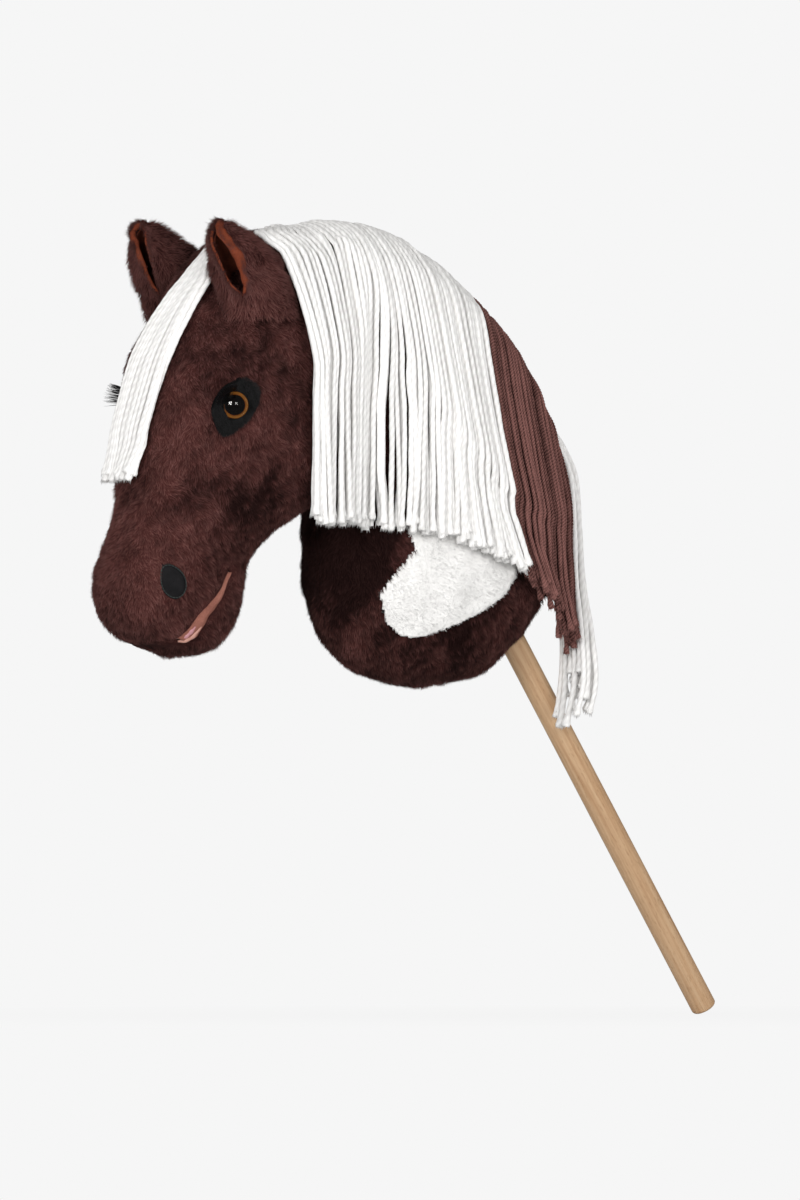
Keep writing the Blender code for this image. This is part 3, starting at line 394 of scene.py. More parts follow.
def yarn(name, dark, light, pitch, plies, strength):
    """Twisted yarn on its own UV map: plies that wind round it, with painted shade in their grooves and painted
    highlight on their crests, fibres along them, and a tint.
    """
    coat = Finish(name)
    split = coat.add("SeparateXYZ", Vector=coat.uv)
    wind = coat.minus(split[0], coat.times(split[1], 1 / pitch))
    ply = coat.maths("COSINE", coat.times(wind, TURN * plies))
    fibre = coat.noise(coat.add("CombineXYZ", X=coat.times(wind, 26.0), Y=split[1])[0], 3.0, 4.0, 0.7)
    height = coat.plus(coat.times(ply, 0.5), fibre)
    # The plies' height also darkens the colour in the grooves and lightens it on the crests: painted shade and
    # painted highlight
    level = coat.plus(coat.times(height, 0.36), coat.times(coat.mark("tint"), 0.4))
    level = coat.plus(level, coat.times(coat.minus(coat.noise(coat.here, 60.0), 0.4), 0.5))
    colour = coat.ramp(level, (0.05, dark), (0.65, light))
    return coat.done(colour, 0.9, (height, strength, 0.0007), Specular_IOR_Level=0.1)


def cloth(name, dark, light, scale, rough=0.85, nap=0.5, gloss=0.15):
    """Velour, felt or satin: a mottled nap at a scale, with a fine bump."""
    coat = Finish(name)
    grain = coat.noise(coat.here, scale, 4.0, 0.65)
    level = coat.plus(coat.times(grain, 0.5), coat.times(coat.noise(coat.here, scale / 12), 0.5))
    colour = coat.ramp(level, (0.32, dark), (0.68, light))
    return coat.done(colour, rough, (grain, nap, 0.0005), Specular_IOR_Level=gloss)


def woven(name, dark, light, threads=1400.0):
    """Plain weave: two sets of waves at right angles, mottled."""
    coat = Finish(name)
    split = coat.add("SeparateXYZ", Vector=coat.here)
    height = coat.times(*(coat.maths("SINE", coat.times(split[way], threads * TURN)) for way in (0, 2)))
    level = coat.plus(coat.noise(coat.here, 90.0), coat.times(height, 0.12))
    return coat.done(coat.ramp(level, (0.3, dark), (0.7, light)), 0.9, (height, 0.4, 0.0003))


def beech_wood():
    """Beech: long fine grain, short dark flecks and slow bands, drawn out along the stick."""
    coat = Finish("beech")
    along = coat.add("Mapping", Vector=coat.here, Rotation=(0, STICK_LEAN, 0))[0]
    stretched = coat.add("Mapping", Vector=along, Scale=(1, 1, 0.035))[0]
    flecked = coat.add("Mapping", Vector=along, Scale=(1, 1, 0.16))[0]
    grain = coat.noise(stretched, 420.0, 6.0, 0.6)
    level = coat.plus(coat.times(grain, 0.55), coat.times(coat.noise(stretched, 90.0), 0.45))
    dark, middle, light = (0.40, 0.225, 0.11), (0.52, 0.335, 0.19), (0.59, 0.42, 0.26)
    colour = coat.ramp(level, (0.33, dark), (0.52, middle), (0.7, light))
    shade = coat.ramp(coat.noise(flecked, 900.0, 2.0), (0.30, (0.74, 0.68, 0.60)), (0.42, (1.0, 1.0, 1.0)))
    return coat.done(coat.shaded(colour, shade, 0.8), 0.55, (grain, 0.15, 0.0003))


PUPIL = (0.002, 0.0015, 0.0015)
IRIS = (
    (0.0, PUPIL), (0.660, PUPIL), (0.705, (0.22, 0.070, 0.010)), (0.86, (0.40, 0.165, 0.032)),
    (1.0, (0.07, 0.025, 0.008)),
)


def iris_paint():
    """The back of a safety eye on its UV map of radius and angle: black pupil, amber ring with streaks."""
    coat = Finish("eye_amber")
    split = coat.add("SeparateXYZ", Vector=coat.uv)
    streaks = coat.noise(coat.add("CombineXYZ", X=split[1])[0], 60.0)
    reach = coat.plus(split[0], coat.times(streaks, 0.05))
    return coat.done(coat.ramp(reach, *IRIS), 0.6, Specular_IOR_Level=0.0)


def clear_plastic():
    coat = Finish("eye_clear")
    colour = coat.ramp(coat.noise(coat.here, 300.0), (0.3, (0.97,) * 3), (0.7, (1.0,) * 3))
    return coat.done(colour, 0.02, Transmission_Weight=1.0, IOR=1.47)


# Length of yarn in which its plies wind round once
WHITE_PITCH, BROWN_PITCH = 0.017, 0.0085
brown_plush = plush("plush_brown", (0.054, 0.0168, 0.0145), (0.134, 0.049, 0.043), (0.255, 0.117, 0.104), 0.85)
white_plush = plush("plush_white", (0.84, 0.83, 0.81), (0.86, 0.85, 0.835), (0.87, 0.86, 0.845), 0.02)
black_plush = plush("felt_black", (0.004, 0.004, 0.004), (0.010, 0.010, 0.010), (0.030, 0.029, 0.030), 0.3)
white_yarn = yarn("yarn_white", (0.69, 0.68, 0.665), (0.85, 0.84, 0.825), WHITE_PITCH, 2, 0.15)
brown_yarn = yarn("yarn_brown", (0.045, 0.018, 0.015), (0.243, 0.110, 0.096), BROWN_PITCH, 3, 0.8)
rust_velour = cloth("lining_rust", (0.085, 0.016, 0.007), (0.215, 0.048, 0.020), 900.0)
# The rust velour made darker: painted shade for the inside of the ear's cup
painted_shade_velour = cloth("lining_rust_painted_shade", (0.040, 0.009, 0.005), (0.110, 0.024, 0.011), 900.0)
salmon_velour = cloth("lining_salmon", (0.155, 0.055, 0.040), (0.29, 0.120, 0.088), 700.0)
pink_satin = cloth("satin_pink", (0.36, 0.175, 0.135), (0.52, 0.28, 0.225), 260.0, 0.4, 0.2, 0.4)
rose_satin = cloth("satin_rose", (0.33, 0.135, 0.155), (0.50, 0.25, 0.27), 260.0, 0.35, 0.2, 0.4)
black_felt = cloth("nostril_felt", (0.005, 0.005, 0.0055), (0.014, 0.013, 0.014), 1200.0)
grey_thread = cloth("thread_grey", (0.020, 0.027, 0.025), (0.055, 0.068, 0.064), 2500.0, 0.5)
lash_bristle = cloth("lash_black", (0.004, 0.004, 0.004), (0.012, 0.010, 0.010), 2000.0, 0.4)
fibre_wadding = cloth("fibre", (0.70, 0.69, 0.66), (0.84, 0.83, 0.80), 300.0)
cotton = woven("cotton", (0.50, 0.46, 0.38), (0.66, 0.62, 0.54))
tape_weave = woven("tape_weave", (0.66, 0.64, 0.60), (0.84, 0.82, 0.78))
nylon = cloth("nylon", (0.66, 0.66, 0.63), (0.78, 0.78, 0.75), 500.0, 0.4, 0.1, 0.5)
beech = beech_wood()
amber = iris_paint()
clear = clear_plastic()


# The two stuffed forms

RELIEF_GAIN = 1.2
STREAKS = ((0.030, 31), (0.012, 32), (0.0055, 33))
STREAK_GAIN = 0.13


class Stuffed:
    """A swelling form: at t a ring between a front and a back outline, at angle a round it from the front."""

    def __init__(self, rows, width, relief, brushed, lumps, seed):
        self.rows, self.width, self.seed = np.array(rows, float) * (MM, MM, MM, MM, 1, 1, 1), width, seed
        self.spots, self.brushed, self.lumps = relief, brushed, lumps
        self.table = through(self.rows, np.linspace(0.01, len(rows) - 1.01, 16 * len(rows)))

    def place(self, t, a):
        """middle + reach * cos(a)^square in the plane of symmetry, half width * sin(a)^square across it."""
        row = through(self.rows, t)
        front, back = row[..., 0:2], row[..., 2:4]
        share, narrow, square = row[..., 4], row[..., 5], row[..., 6]
        ahead = np.sign(np.cos(a)) * np.abs(np.cos(a)) ** square
        aside = np.sign(np.sin(a)) * np.abs(np.sin(a)) ** square
        flat = (front + back) / 2 + (front - back) / 2 * ahead[..., None]
        y = -self.width / 2 * share * aside * (1 - narrow * ahead)
        return np.stack([flat[..., 0], y, flat[..., 1]], -1)

    def relief(self, p):
        """Bumps and hollows: a bell at each spot, mirrored, and a soft swell of the filling."""
        lumps = swell(p, 0.045, self.seed) + swell(p, 0.016, self.seed + 1) * 0.4
        return lumps * self.lumps + spots_at(p, self.spots) * MM * RELIEF_GAIN

    def nap(self, p):
        """How much lighter or darker the pile is painted: broad spots of painted sheen and shade, and streaks
        of three sizes.
        """
        return spots_at(p, self.brushed) + sum(swell(p, size, seed) * STREAK_GAIN for size, seed in STREAKS)

    def skin(self, t, a, depth=SKIN_DEPTH):
        """The sculpted surface at a depth, and its outward normal, from the steps of place in t and a."""
        step = 0.004
        across = self.place(t, a + step) - self.place(t, a - step)
        down = self.place(np.maximum(t - step, 0.002), a) - self.place(t + step, a)
        p = self.place(t, a)
        out = unit(np.cross(down, across))
        row = through(self.rows, t)
        middle = (row[..., 0:2] + row[..., 2:4]) / 2
        core = np.stack([middle[..., 0], 0 * t, middle[..., 1]], -1)
        out = out * np.sign((out * (p - core)).sum(-1, keepdims=True))
        return p + out * (self.relief(p) - depth)[..., None], out

    def half_width(self, x, z):
        """Half the width at x and z, by the ring whose line passes there and the place along that line."""
        front, back = self.table[:, 0:2], self.table[:, 2:4]
        run = front - back
        away = run[:, 0] * (z[:, None] - back[:, 1]) - run[:, 1] * (x[:, None] - back[:, 0])
        sign = away > 0
        turn = sign[:, 1:] != sign[:, :-1]
        at = turn.argmax(1)
        pick = np.arange(len(x))
        f = away[pick, at] / (away[pick, at] - away[pick, at + 1] + 1e-12)
        row = self.table[at] + (self.table[at + 1] - self.table[at]) * f[:, None]
        front, back = row[:, 0:2], row[:, 2:4]
        reach = (front - back) / 2
        ahead = (((np.stack([x, z], 1) - (front + back) / 2) * reach).sum(1)) / (reach**2).sum(1)
        cosine = np.minimum(np.abs(ahead), 1) ** (1 / row[:, 6])
        half = self.width / 2 * row[:, 4] * np.sqrt(1 - cosine**2) ** row[:, 6] * (1 - row[:, 5] * ahead)
        return np.where(turn.any(1) & (np.abs(ahead) < 1), half, -1.0)

    def holds(self, points, margin=0.0):
        """Whether points lie in the form, at least about a margin below its surface."""
        flat = points.reshape(-1, 3)
        step = max(margin, 1e-6)
        found = np.ones(len(flat), bool)
        for dx, dz in ((0, 0), (step, 0), (-step, 0), (0, step), (0, -step)):
            half = self.half_width(flat[:, 0] + dx, flat[:, 2] + dz)
            found &= np.abs(flat[:, 1]) < half - (margin if dx == dz == 0 else 0)
        return found.reshape(points.shape[:-1])

    def hit(self, starts, way, reach):
        """Where lines from outside along a way first meet the form, by halving the interval."""
        low, high = np.zeros(len(starts)), np.full(len(starts), reach)
        for _ in range(18):
            middle = (low + high) / 2
            held = self.holds(starts + way * middle[:, None])
            high = np.where(held, middle, high)
            low = np.where(held, low, middle)
        return starts + way * ((low + high) / 2)[:, None]


head = Stuffed(HEAD_ROWS, HEAD_WIDTH, HEAD_RELIEF, HEAD_PAINTED_LIGHT_AND_SHADE, 0.0012, 3)
neck = Stuffed(NECK_ROWS, NECK_WIDTH, NECK_RELIEF, NECK_PAINTED_LIGHT_AND_SHADE, 0.0016, 8)


def within(outline, x, z):
    """Whether points of x and z lie in an outline, by counting the edges that a line from each crosses."""
    spots = np.array(outline, float) * MM
    after = np.roll(spots, -1, 0)
    x, z = x[..., None], z[..., None]
    spans = (spots[:, 1] > z) != (after[:, 1] > z)
    run = after - spots
    cross = spots[:, 0] + (z - spots[:, 1]) * run[:, 0] / (run[:, 1] + 1e-12)
    return (spans & (x < cross)).sum(-1) % 2 == 1


def line_at(points, value, key=0):
    """The other coordinate of a line of points, in metres, where the keyed one has a value."""
    line = np.array(points, float) * MM
    line = line[np.argsort(line[:, key])]
    return np.interp(value, line[:, key], line[:, 1 - key])


# Plush cover

HAIR_AREA = 1.25e-6
HAIR_LENGTH, HAIR_WIDTH = 0.0056, 0.00064
COMB = np.array((0.25, 0.0, -1.0))
PILE_LIMIT = 45000
# The share of its length below which a hair is left out, and the share of hairs left out under the mane
SHORTEST = 0.12
THINNED = 0.75
MANE_EDGE = ((-0.31, 0.17), (-0.23, 0.165), (-0.157, 0.15), (-0.087, 0.12), (-0.038, 0.09), (0.0, 0.06))


def spread_over(grid, normals, keep, rng, count=None):
    """Random spots over the kept faces of a grid, as many to each as its area deserves, with normals."""
    one, other = grid[1:, 1:] - grid[:-1, :-1], grid[1:, :-1] - grid[:-1, 1:]
    area = np.linalg.norm(np.cross(one, other), axis=-1) / 2 * keep
    pick = rng.choice(area.size, int(count or area.sum() / HAIR_AREA), p=(area / area.sum()).ravel())
    i, j = np.unravel_index(pick, area.shape)
    u, v = rng.random((2, len(pick), 1))

    def blended(values):
        low = values[i, j] * (1 - v) + values[i, j + 1] * v
        high = values[i + 1, j] * (1 - v) + values[i + 1, j + 1] * v
        return low * (1 - u) + high * u

    return blended(grid), unit(blended(normals))


def combed(spots, out, rng, lift=0.66, swirl=0.65):
    """The way of each hair: the comb's direction on the surface, swirled by a slow field, and lifted."""
    flat = unit(COMB - out * (out @ COMB)[:, None] + 1e-6)
    angle = swell(spots, 0.024, 11) * swirl + swell(spots, 0.009, 12) * swirl * 0.45
    flat = flat * np.cos(angle)[:, None] + np.cross(out, flat) * np.sin(angle)[:, None]
    rise = lift + swell(spots, 0.014, 13) * 0.18
    way = flat * np.cos(rise)[:, None] + out * np.sin(rise)[:, None]
    return unit(way + rng.normal(scale=0.12, size=way.shape))


def pile(name, spots, out, finish, seed, length=HAIR_LENGTH, width=HAIR_WIDTH, trim=1.0, nap=0.0, **comb):
    """Hairs from spots on a surface, in tufts of varying length, shaded as the surface they make up."""
    rng = np.random.default_rng(seed)
    ways = combed(spots, out, rng, **comb)
    lengths = length * (1 + 0.14 * swell(spots, 0.011, 14)) * rng.uniform(0.75, 1.1, len(spots)) * trim
    points, faces, tip = spikes(spots - out * 0.0005, ways, lengths, width, rng)
    soft = unit(out * 0.9 + ways * 0.3 + rng.normal(scale=0.07, size=out.shape))
    # tip carries the painted shade at the roots; nap carries the painted sheen and shade of the spots
    marks = {"tip": tip, "nap": np.repeat(nap + np.zeros(len(spots)), 4)}
    return made(name, (points, [faces]), finish, marks, normals=np.repeat(soft, 4, 0))


def covered_by_mane(p):
    """The near side of the neck under the yarn."""
    x, y, z = p.T
    return (y < -0.004) & (x > -0.300) & (x < 0.0) & (z > read_off(x, MANE_EDGE))


def cover(name, form, t, a, keep=None, trim=None, seed=0, finish=brown_plush, slot="plush_brown", **hair):
    """A panel of the cover over a grid of t and a: a closed cloth sheet, and its pile as a second piece."""
    t, a = np.broadcast_arrays(t[:, None], a)
    outer, out = form.skin(t, a)
    inner, _ = form.skin(t, a, SKIN_DEPTH + SKIN_THICK)
    middle = (outer[:-1, :-1] + outer[1:, 1:]) / 2
    keep = np.ones(middle.shape[:2], bool) if keep is None else keep(middle)
    shape = sheet_between(outer, inner, keep)
    # The cloth under the pile is painted as dark as the shaded roots, and cloth and pile both take the painted
    # sheen and shade as the mark nap
    seat(made(name, shape, finish, {"tip": np.zeros(len(shape[0])), "nap": form.nap(shape[0])}), name)
    rng = np.random.default_rng(seed)
    spots, normals = spread_over(outer, out, keep, rng)
    share = np.ones(len(spots)) if trim is None else trim(spots)
    stay = (share > SHORTEST) & ~(covered_by_mane(spots) & (rng.random(len(spots)) < THINNED))
    spots, normals, share = spots[stay], normals[stay], share[stay]
    parts = math.ceil(len(spots) / PILE_LIMIT)
    for part, pick in enumerate(np.array_split(np.argsort(spots[:, 2]), parts)):
        hair.update(trim=share[pick], nap=form.nap(spots[pick]))
        seat(pile(f"{name}_pile_{part + 1}", spots[pick], normals[pick], finish, seed + part, **hair))


def angle_of(form, t, ahead):
    """The angle round ring t at which the share along its line is ahead."""
    square = through(form.rows, t)[..., 6]
    return np.arccos(np.clip(np.sign(ahead) * np.abs(ahead) ** (1 / square), -1, 1))


def gusset_angle(t):
    """The angle at which the head is half the gusset's width from its middle, a quarter turn at most."""
    a = np.linspace(0.02, math.pi / 2, 120)
    wide = -head.place(*np.broadcast_arrays(t[:, None], a))[..., 1]
    half = GUSSET_WIDTH / 2
    first = (wide > half).argmax(1)
    return a[np.where(wide.max(1) > half, np.maximum(first, 1), len(a) - 1)]


def mouth_offset(x, z):
    """How far points of x and z lie from the mouth's line, and half of the lips' opening there."""
    line = np.array(MOUTH_LINE, float) * MM
    halves = np.array(MOUTH_WIDTHS) * MM / 2
    run = np.diff(line, axis=0)
    spots = np.stack([x, z], -1)[..., None, :]
    share = np.clip(((spots - line[:-1]) * run).sum(-1) / (run**2).sum(-1), 0, 1)
    away = np.linalg.norm(spots - line[:-1] - run * share[..., None], axis=-1)
    nearest = away.argmin(-1)[..., None]
    part = np.take_along_axis(share, nearest, -1)[..., 0]
    nearest = nearest[..., 0]
    return away.min(-1), halves[nearest] + (halves[nearest + 1] - halves[nearest]) * part


def mouth_shares(t):
    """How far along the line of ring t the face ends and the chin begins; both -1 where there is no chin."""
    row = through(head.rows, t)
    ahead = np.linspace(-1, 1, 600)
    middle, reach = (row[:, 0:2] + row[:, 2:4]) / 2, (row[:, 0:2] - row[:, 2:4]) / 2
    x, z = (middle[:, None] + reach[:, None] * ahead[:, None]).transpose(2, 0, 1)
    chin = (x > line_at(MOUTH_LINE, z, 1)) & (z < line_at(CHIN_SEAM, x, 0))
    away, half = mouth_offset(x, z)
    closed = away >= half
    return 1 - 2 * (~chin & closed).sum(1) / len(ahead), -1 + 2 * (chin & closed).sum(1) / len(ahead)


HEAD_T = np.linspace(0.03, len(HEAD_ROWS) - 1.03, 150)
NECK_T = np.linspace(0.03, len(NECK_ROWS) - 1.05, 150)
EYE_TURN = math.radians(57)
eye_centres = {side: np.array((-0.388, side * 0.0658, 0.253)) for side in (-1, 1)}
eye_ways = {side: np.array((-math.cos(EYE_TURN), side * math.sin(EYE_TURN), 0)) for side in (-1, 1)}
nostril_centres = {side: np.array((-0.440, side * 0.0462, 0.102)) for side in (-1, 1)}
ear_centres = {side: np.array((-0.355, side * 0.0554, 0.343)) for side in (-1, 1)}
# The heights on the head between which the lips part
MOUTH_T = 9.0, 13.6
# How far from the middle of an eye and a nostril the pile begins, and the width of its shorter edge
EYE_CLEAR, NOSTRIL_CLEAR, CLEAR_EDGE = 0.016, 0.010, 0.006


def outside_neck(p):
    return ~neck.holds(p, 0.010)


def trim_on_head(p):
    """The share of its length that the pile keeps: none under the eyes and nostrils, little at the lips."""
    away, half = mouth_offset(p[:, 0], p[:, 2])
    share = np.clip((away - half) / 0.009, 0.0, 1) * 0.86 + 0.14
    share = np.where(neck.holds(p, 0.006), 0.0, share)
    for side in (-1, 1):
        far = np.linalg.norm(p - eye_centres[side], axis=1) - EYE_CLEAR
        share = np.minimum(share, np.clip(far / CLEAR_EDGE, 0, 1))
        far = np.linalg.norm((p - nostril_centres[side]) * (1.1, 1, 0.85), axis=1) - NOSTRIL_CLEAR
        share = np.minimum(share, np.clip(far / CLEAR_EDGE, 0, 1))
    return share


def make_head():
    """The face's two panels from the gusset to the lips, the gusset, and the chin behind the lips."""
    face, back = mouth_shares(HEAD_T)
    lip, chin = angle_of(head, HEAD_T, face), angle_of(head, HEAD_T, back)
    gusset = np.minimum(gusset_angle(HEAD_T), lip)
    for side, name in TURNS:
        a = side * (gusset[:, None] + (lip - gusset)[:, None] * np.linspace(0, 1, 60))
        cover(f"face_panel_{name}", head, HEAD_T, a, outside_neck, trim_on_head, 20 + side)
    cover("forehead_gusset", head, HEAD_T, gusset[:, None] * np.linspace(-1, 1, 13), None, trim_on_head, 30)
    rows = np.flatnonzero(back > -0.999)
    a = math.pi + (math.pi - chin[rows])[:, None] * np.linspace(-1, 1, 48)
    cover("chin_panel", head, HEAD_T[rows], a, outside_neck, trim_on_head, 40)
    return lip, chin


def make_mouth(lip, chin):
    """The lining: a swelling band between the lips, from inside the face's edge to inside the chin's."""
    span = np.linspace(-0.10, 1.10, 13)
    depth = SKIN_DEPTH - 0.0010 - 0.0014 * np.sin(np.clip(span, 0, 1) * math.pi)
    gap = np.linalg.norm(head.place(HEAD_T, lip) - head.place(HEAD_T, chin), axis=1)
    rows = np.flatnonzero((gap > 0.0022) & (HEAD_T > MOUTH_T[0]) & (HEAD_T < MOUTH_T[1]))
    for side, name in TURNS:
        at = rows[::side]
        a = side * (lip[at, None] + (chin - lip)[at, None] * span)
        outer, out = head.skin(*np.broadcast_arrays(HEAD_T[at, None], a), depth)
        shape = sheet_between(outer, outer - out * 0.0014)
        seat(made(f"mouth_lining_{name}", shape, salmon_velour), "mouth_lining")


# Rolls of the lower lip: name, lowest and highest z, place from face (0) to chin (1), radius, finish
LIP_ROLLS = (
    ("lower", 0.046, 0.066, 0.82, 0.0024, pink_satin),
    ("inner", 0.048, 0.064, 0.34, 0.0021, rose_satin),
)


def make_lips(lip, chin):
    """Soft rolls along the mouth: tubes between heights, thinner at their ends."""
    rows = through(head.rows, HEAD_T)
    z = rows[:, 1] * 0.5 + rows[:, 3] * 0.5
    share = np.linspace(0, 1, 60)
    for side, name in TURNS:
        for part, low, high, place, size, finish in LIP_ROLLS:
            at = np.flatnonzero((z > low) & (z < high) & (chin - lip > 0.01) & (HEAD_T > MOUTH_T[0]))
            a = lip[at] + (chin - lip)[at] * place
            path, _ = head.skin(HEAD_T[at], side * a, SKIN_DEPTH - 0.0008)
            r = size * np.sin(share * math.pi * 0.96 + 0.04) ** 0.5 * (1 + 0.10 * np.sin(share * 19))
            shape = closed_tube(tube_rings(evenly(path[None], 60), r[None], 12, (0, 1, 0)))
            seat(made(f"{part}_lip_{name}", shape, finish), "lower_lip")


def under_base_seam(p):
    return p[..., 2] < line_at(BASE_SEAM, p[..., 0], 0)


HOLE_GAP, HOLE_TOP = 0.0025, 0.12


def by_stick(p):
    """The hole round the stick in the bottom of the neck."""
    off = p - STICK_UP * (p @ STICK_UP)[..., None]
    return (np.linalg.norm(off, axis=-1) < STICK_RADIUS + HOLE_GAP) & (p[..., 2] < HOLE_TOP)


def on_patch(p):
    return within(WHITE_PATCH, p[..., 0], p[..., 2]) & (p[..., 1] < -0.03)


def neck_side(p):
    return ~head.holds(p, 0.009) & ~under_base_seam(p) & ~on_patch(p) & ~by_stick(p)


def neck_base(p):
    return under_base_seam(p) & ~by_stick(p)


def trim_on_neck(p):
    return np.where(head.holds(p, 0.006) | by_stick(p), 0.0, 1.0)


def trim_on_base(p):
    return np.where(by_stick(p), 0.0, 1.0)


def make_neck():
    for side, name in TURNS:
        a = side * np.linspace(0, math.pi, 76)
        cover(f"neck_panel_{name}", neck, NECK_T, a, neck_side, trim_on_neck, 50 + side)
    cover("base_panel", neck, NECK_T[NECK_T < 4.2], np.linspace(0, TURN, 150), neck_base, trim_on_base, 60)
    t, a = np.linspace(1.8, 6.4, 90), np.linspace(0.25, math.pi - 0.25, 110)
    short = dict(length=0.0030, width=0.00050, lift=1.25, swirl=0.2)
    cover("neck_white_patch", neck, t, a, on_patch, None, 70, white_plush, "plush_white", **short)


# The modifiers that make the filling: remeshed, softened and drawn in
FILLING = (
    ("REMESH", {"mode": "VOXEL", "voxel_size": 0.005}),
    ("SMOOTH", {"factor": 0.5, "iterations": 12}),
    ("DISPLACE", {"strength": -0.0045, "mid_level": 0.0}),
)


def make_filling():
    """The filling: the space that the cover leaves, remeshed, softened and drawn in from the cloth."""
    for name in ("head", "neck"):
        node = nodes[f"{name}_stuffing"]
        item = node.copy()
        item.data = node.data.copy()
        item.name = f"{name}_filling"
        item.parent = None
        scene.collection.objects.link(item)
        for kind, settings in FILLING:
            step = item.modifiers.new(kind.lower(), kind)
            for key, value in settings.items():
                setattr(step, key, value)
        mesh = bpy.data.meshes.new_from_object(item.evaluated_get(bpy.context.evaluated_depsgraph_get()))
        item.modifiers.clear()
        item.data = mesh
        mesh.materials.clear()
        mesh.materials.append(fibre_wadding)
        mesh.shade_smooth()
        seat(item, f"{name}_stuffing")


# Yarn


def gone_along(paths):
    """The distance gone at each point of paths, from 0 at their starts."""
    reach = np.linalg.norm(np.diff(paths, axis=1), axis=-1)
    return np.concatenate([np.zeros((len(paths), 1)), np.cumsum(reach, 1)], 1)


def resampled(paths, wanted, known):
    """Paths at the wanted shares, where known gives the share of each of their points."""
    rows = [[np.interp(w, k, p[:, i]) for i in range(3)] for p, w, k in zip(paths, wanted, known)]
    return np.array(rows).transpose(0, 2, 1)


def evenly(paths, count):
    """Paths with their points moved to equal steps along them."""
    gone = gone_along(paths)
    return resampled(paths, [np.linspace(0, 1, count)] * len(paths), gone / gone[:, -1:])


def cut_short(paths, cuts):
    """Paths that end at a share of their points."""
    share = np.linspace(0, 1, paths.shape[1])
    return resampled(paths, [share * cut for cut in cuts], [share] * len(cuts))


def tube_rings(paths, radius, sides, across, lobes=0, depth=0.0, pitch=1.0, phase=0.0):
    """Rings along paths: at angle q the radius is r * (1 + depth * cos(lobes * q - turns along the path))."""
    across = np.asarray(across, float)
    run = unit(np.gradient(paths, axis=1))
    first = unit(across - run * (run @ across)[..., None])
    second = np.cross(run, first)
    q = np.arange(sides) * TURN / sides
    twist = gone_along(paths)[..., None] / pitch * TURN * max(lobes, 1) + np.reshape(phase, (-1, 1, 1))
    r = radius[..., None] * (1 + depth * np.cos(lobes * q - twist))
    around = first[:, :, None] * np.cos(q)[:, None] + second[:, :, None] * np.sin(q)[:, None]
    return paths[:, :, None] + around * r[..., None]


def yarn_uv(count, around, length):
    """UV of each face corner of closed_tube: u once round the strand, v the metres along it."""
    u = np.arange(around + 1) / around
    grid = np.stack(np.meshgrid(u, np.linspace(0, 1, count)), -1).reshape(-1, 2)
    sides = grid[quads_of(np.arange(len(grid)).reshape(count, -1)).ravel()]
    caps = []
    for end, near, far in ((0.0, u[1:], u[:-1]), (1.0, u[:-1], u[1:])):
        corners = np.stack([(near + far) / 2, near, far], 1).ravel()
        caps.append(np.stack([corners, np.full(len(corners), end)], 1))
    scale = np.stack([np.ones(len(length)), length], 1)[:, None]
    return np.concatenate([(part * scale).reshape(-1, 2) for part in (sides, np.concatenate(caps))])


# Swelling of a strand at shares of its length, and at distances from its end where it frays
ROOT_SHARES, ROOT_SWELL = (0, 0.02, 0.06), (0.75, 0.92, 1)
FRAY_REACH, FRAY_SWELL = (0.011, 0.006, 0.0025, 0.0), (1, 1.22, 1.55, 1.3)


def strands(name, paths, look, sides, count, across, seed, lobed=True, brush=26):
    """Yarn: lobed tubes along paths, thinner at the root and frayed at the tip, with a brush of fibres."""
    radius, lobes, depth, pitch, finish = look
    lobes = lobes if lobed else 0
    rng = np.random.default_rng(seed)
    paths = evenly(paths, count)
    share = np.linspace(0, 1, count)
    fat = radius * rng.uniform(0.9, 1.1, (len(paths), 1))
    length = np.linalg.norm(np.diff(paths, axis=1), axis=-1).sum(1)
    flare = 1 - np.array(FRAY_REACH) / length[0]
    form = np.interp(share, (*ROOT_SHARES, *flare), ROOT_SWELL + FRAY_SWELL)
    pace, begin = rng.uniform(20, 60, (len(paths), 1)), rng.uniform(0, 6, (len(paths), 1))
    knots = 1 + 0.05 * np.sin(share * pace + begin)
    phase = rng.uniform(0, TURN, len(paths))
    rings = tube_rings(paths, fat * form * knots, sides, across, lobes, depth, pitch, phase)
    points, faces = closed_tube(rings)
    tint = np.repeat(rng.random(len(paths)), count * sides + 2)
    uv = yarn_uv(count, sides, length)
    uv[:, 0] -= np.repeat(phase / TURN / max(lobes, 1), len(uv) // len(paths))
    loose_points, loose_faces, loose_tint = brushes(paths, fat[:, 0], brush, rng)
    faces.append(loose_faces + len(points))
    marks = {"tint": np.concatenate([tint, loose_tint])}
    uv = np.concatenate([uv, np.zeros((loose_faces.size, 2))])
    return made(name, (np.concatenate([points, loose_points]), faces), finish, marks, uv)


def brushes(paths, radius, count, rng):
    """The frayed end of each strand: short fibres that fan out round its run."""
    many = np.repeat(np.arange(len(paths)), count)
    run = unit(paths[:, -1] - paths[:, -5])[many]
    off = rng.normal(size=(len(many), 3))
    off = unit(off - run * (off * run).sum(1)[:, None])
    place = np.sqrt(rng.random(len(many)))[:, None]
    back = rng.uniform(0.002, 0.006, (len(many), 1))
    roots = paths[many, -1] + off * radius[many][:, None] * place * 1.25 - run * back
    ways = unit(run + off * rng.uniform(0.05, 0.42, (len(many), 1)) * place)
    reach = back[:, 0] + rng.uniform(-0.0005, 0.0034, len(many))
    points, faces, _ = spikes(roots, ways, reach, 0.0013, rng)
    # The fibres take a tint of 0.5 to 1, above the strands' 0 to 1: painted light that lifts the shade on the
    # thin fibres
    return points, faces, np.repeat(rng.uniform(0.5, 1.0, len(many)), 4)


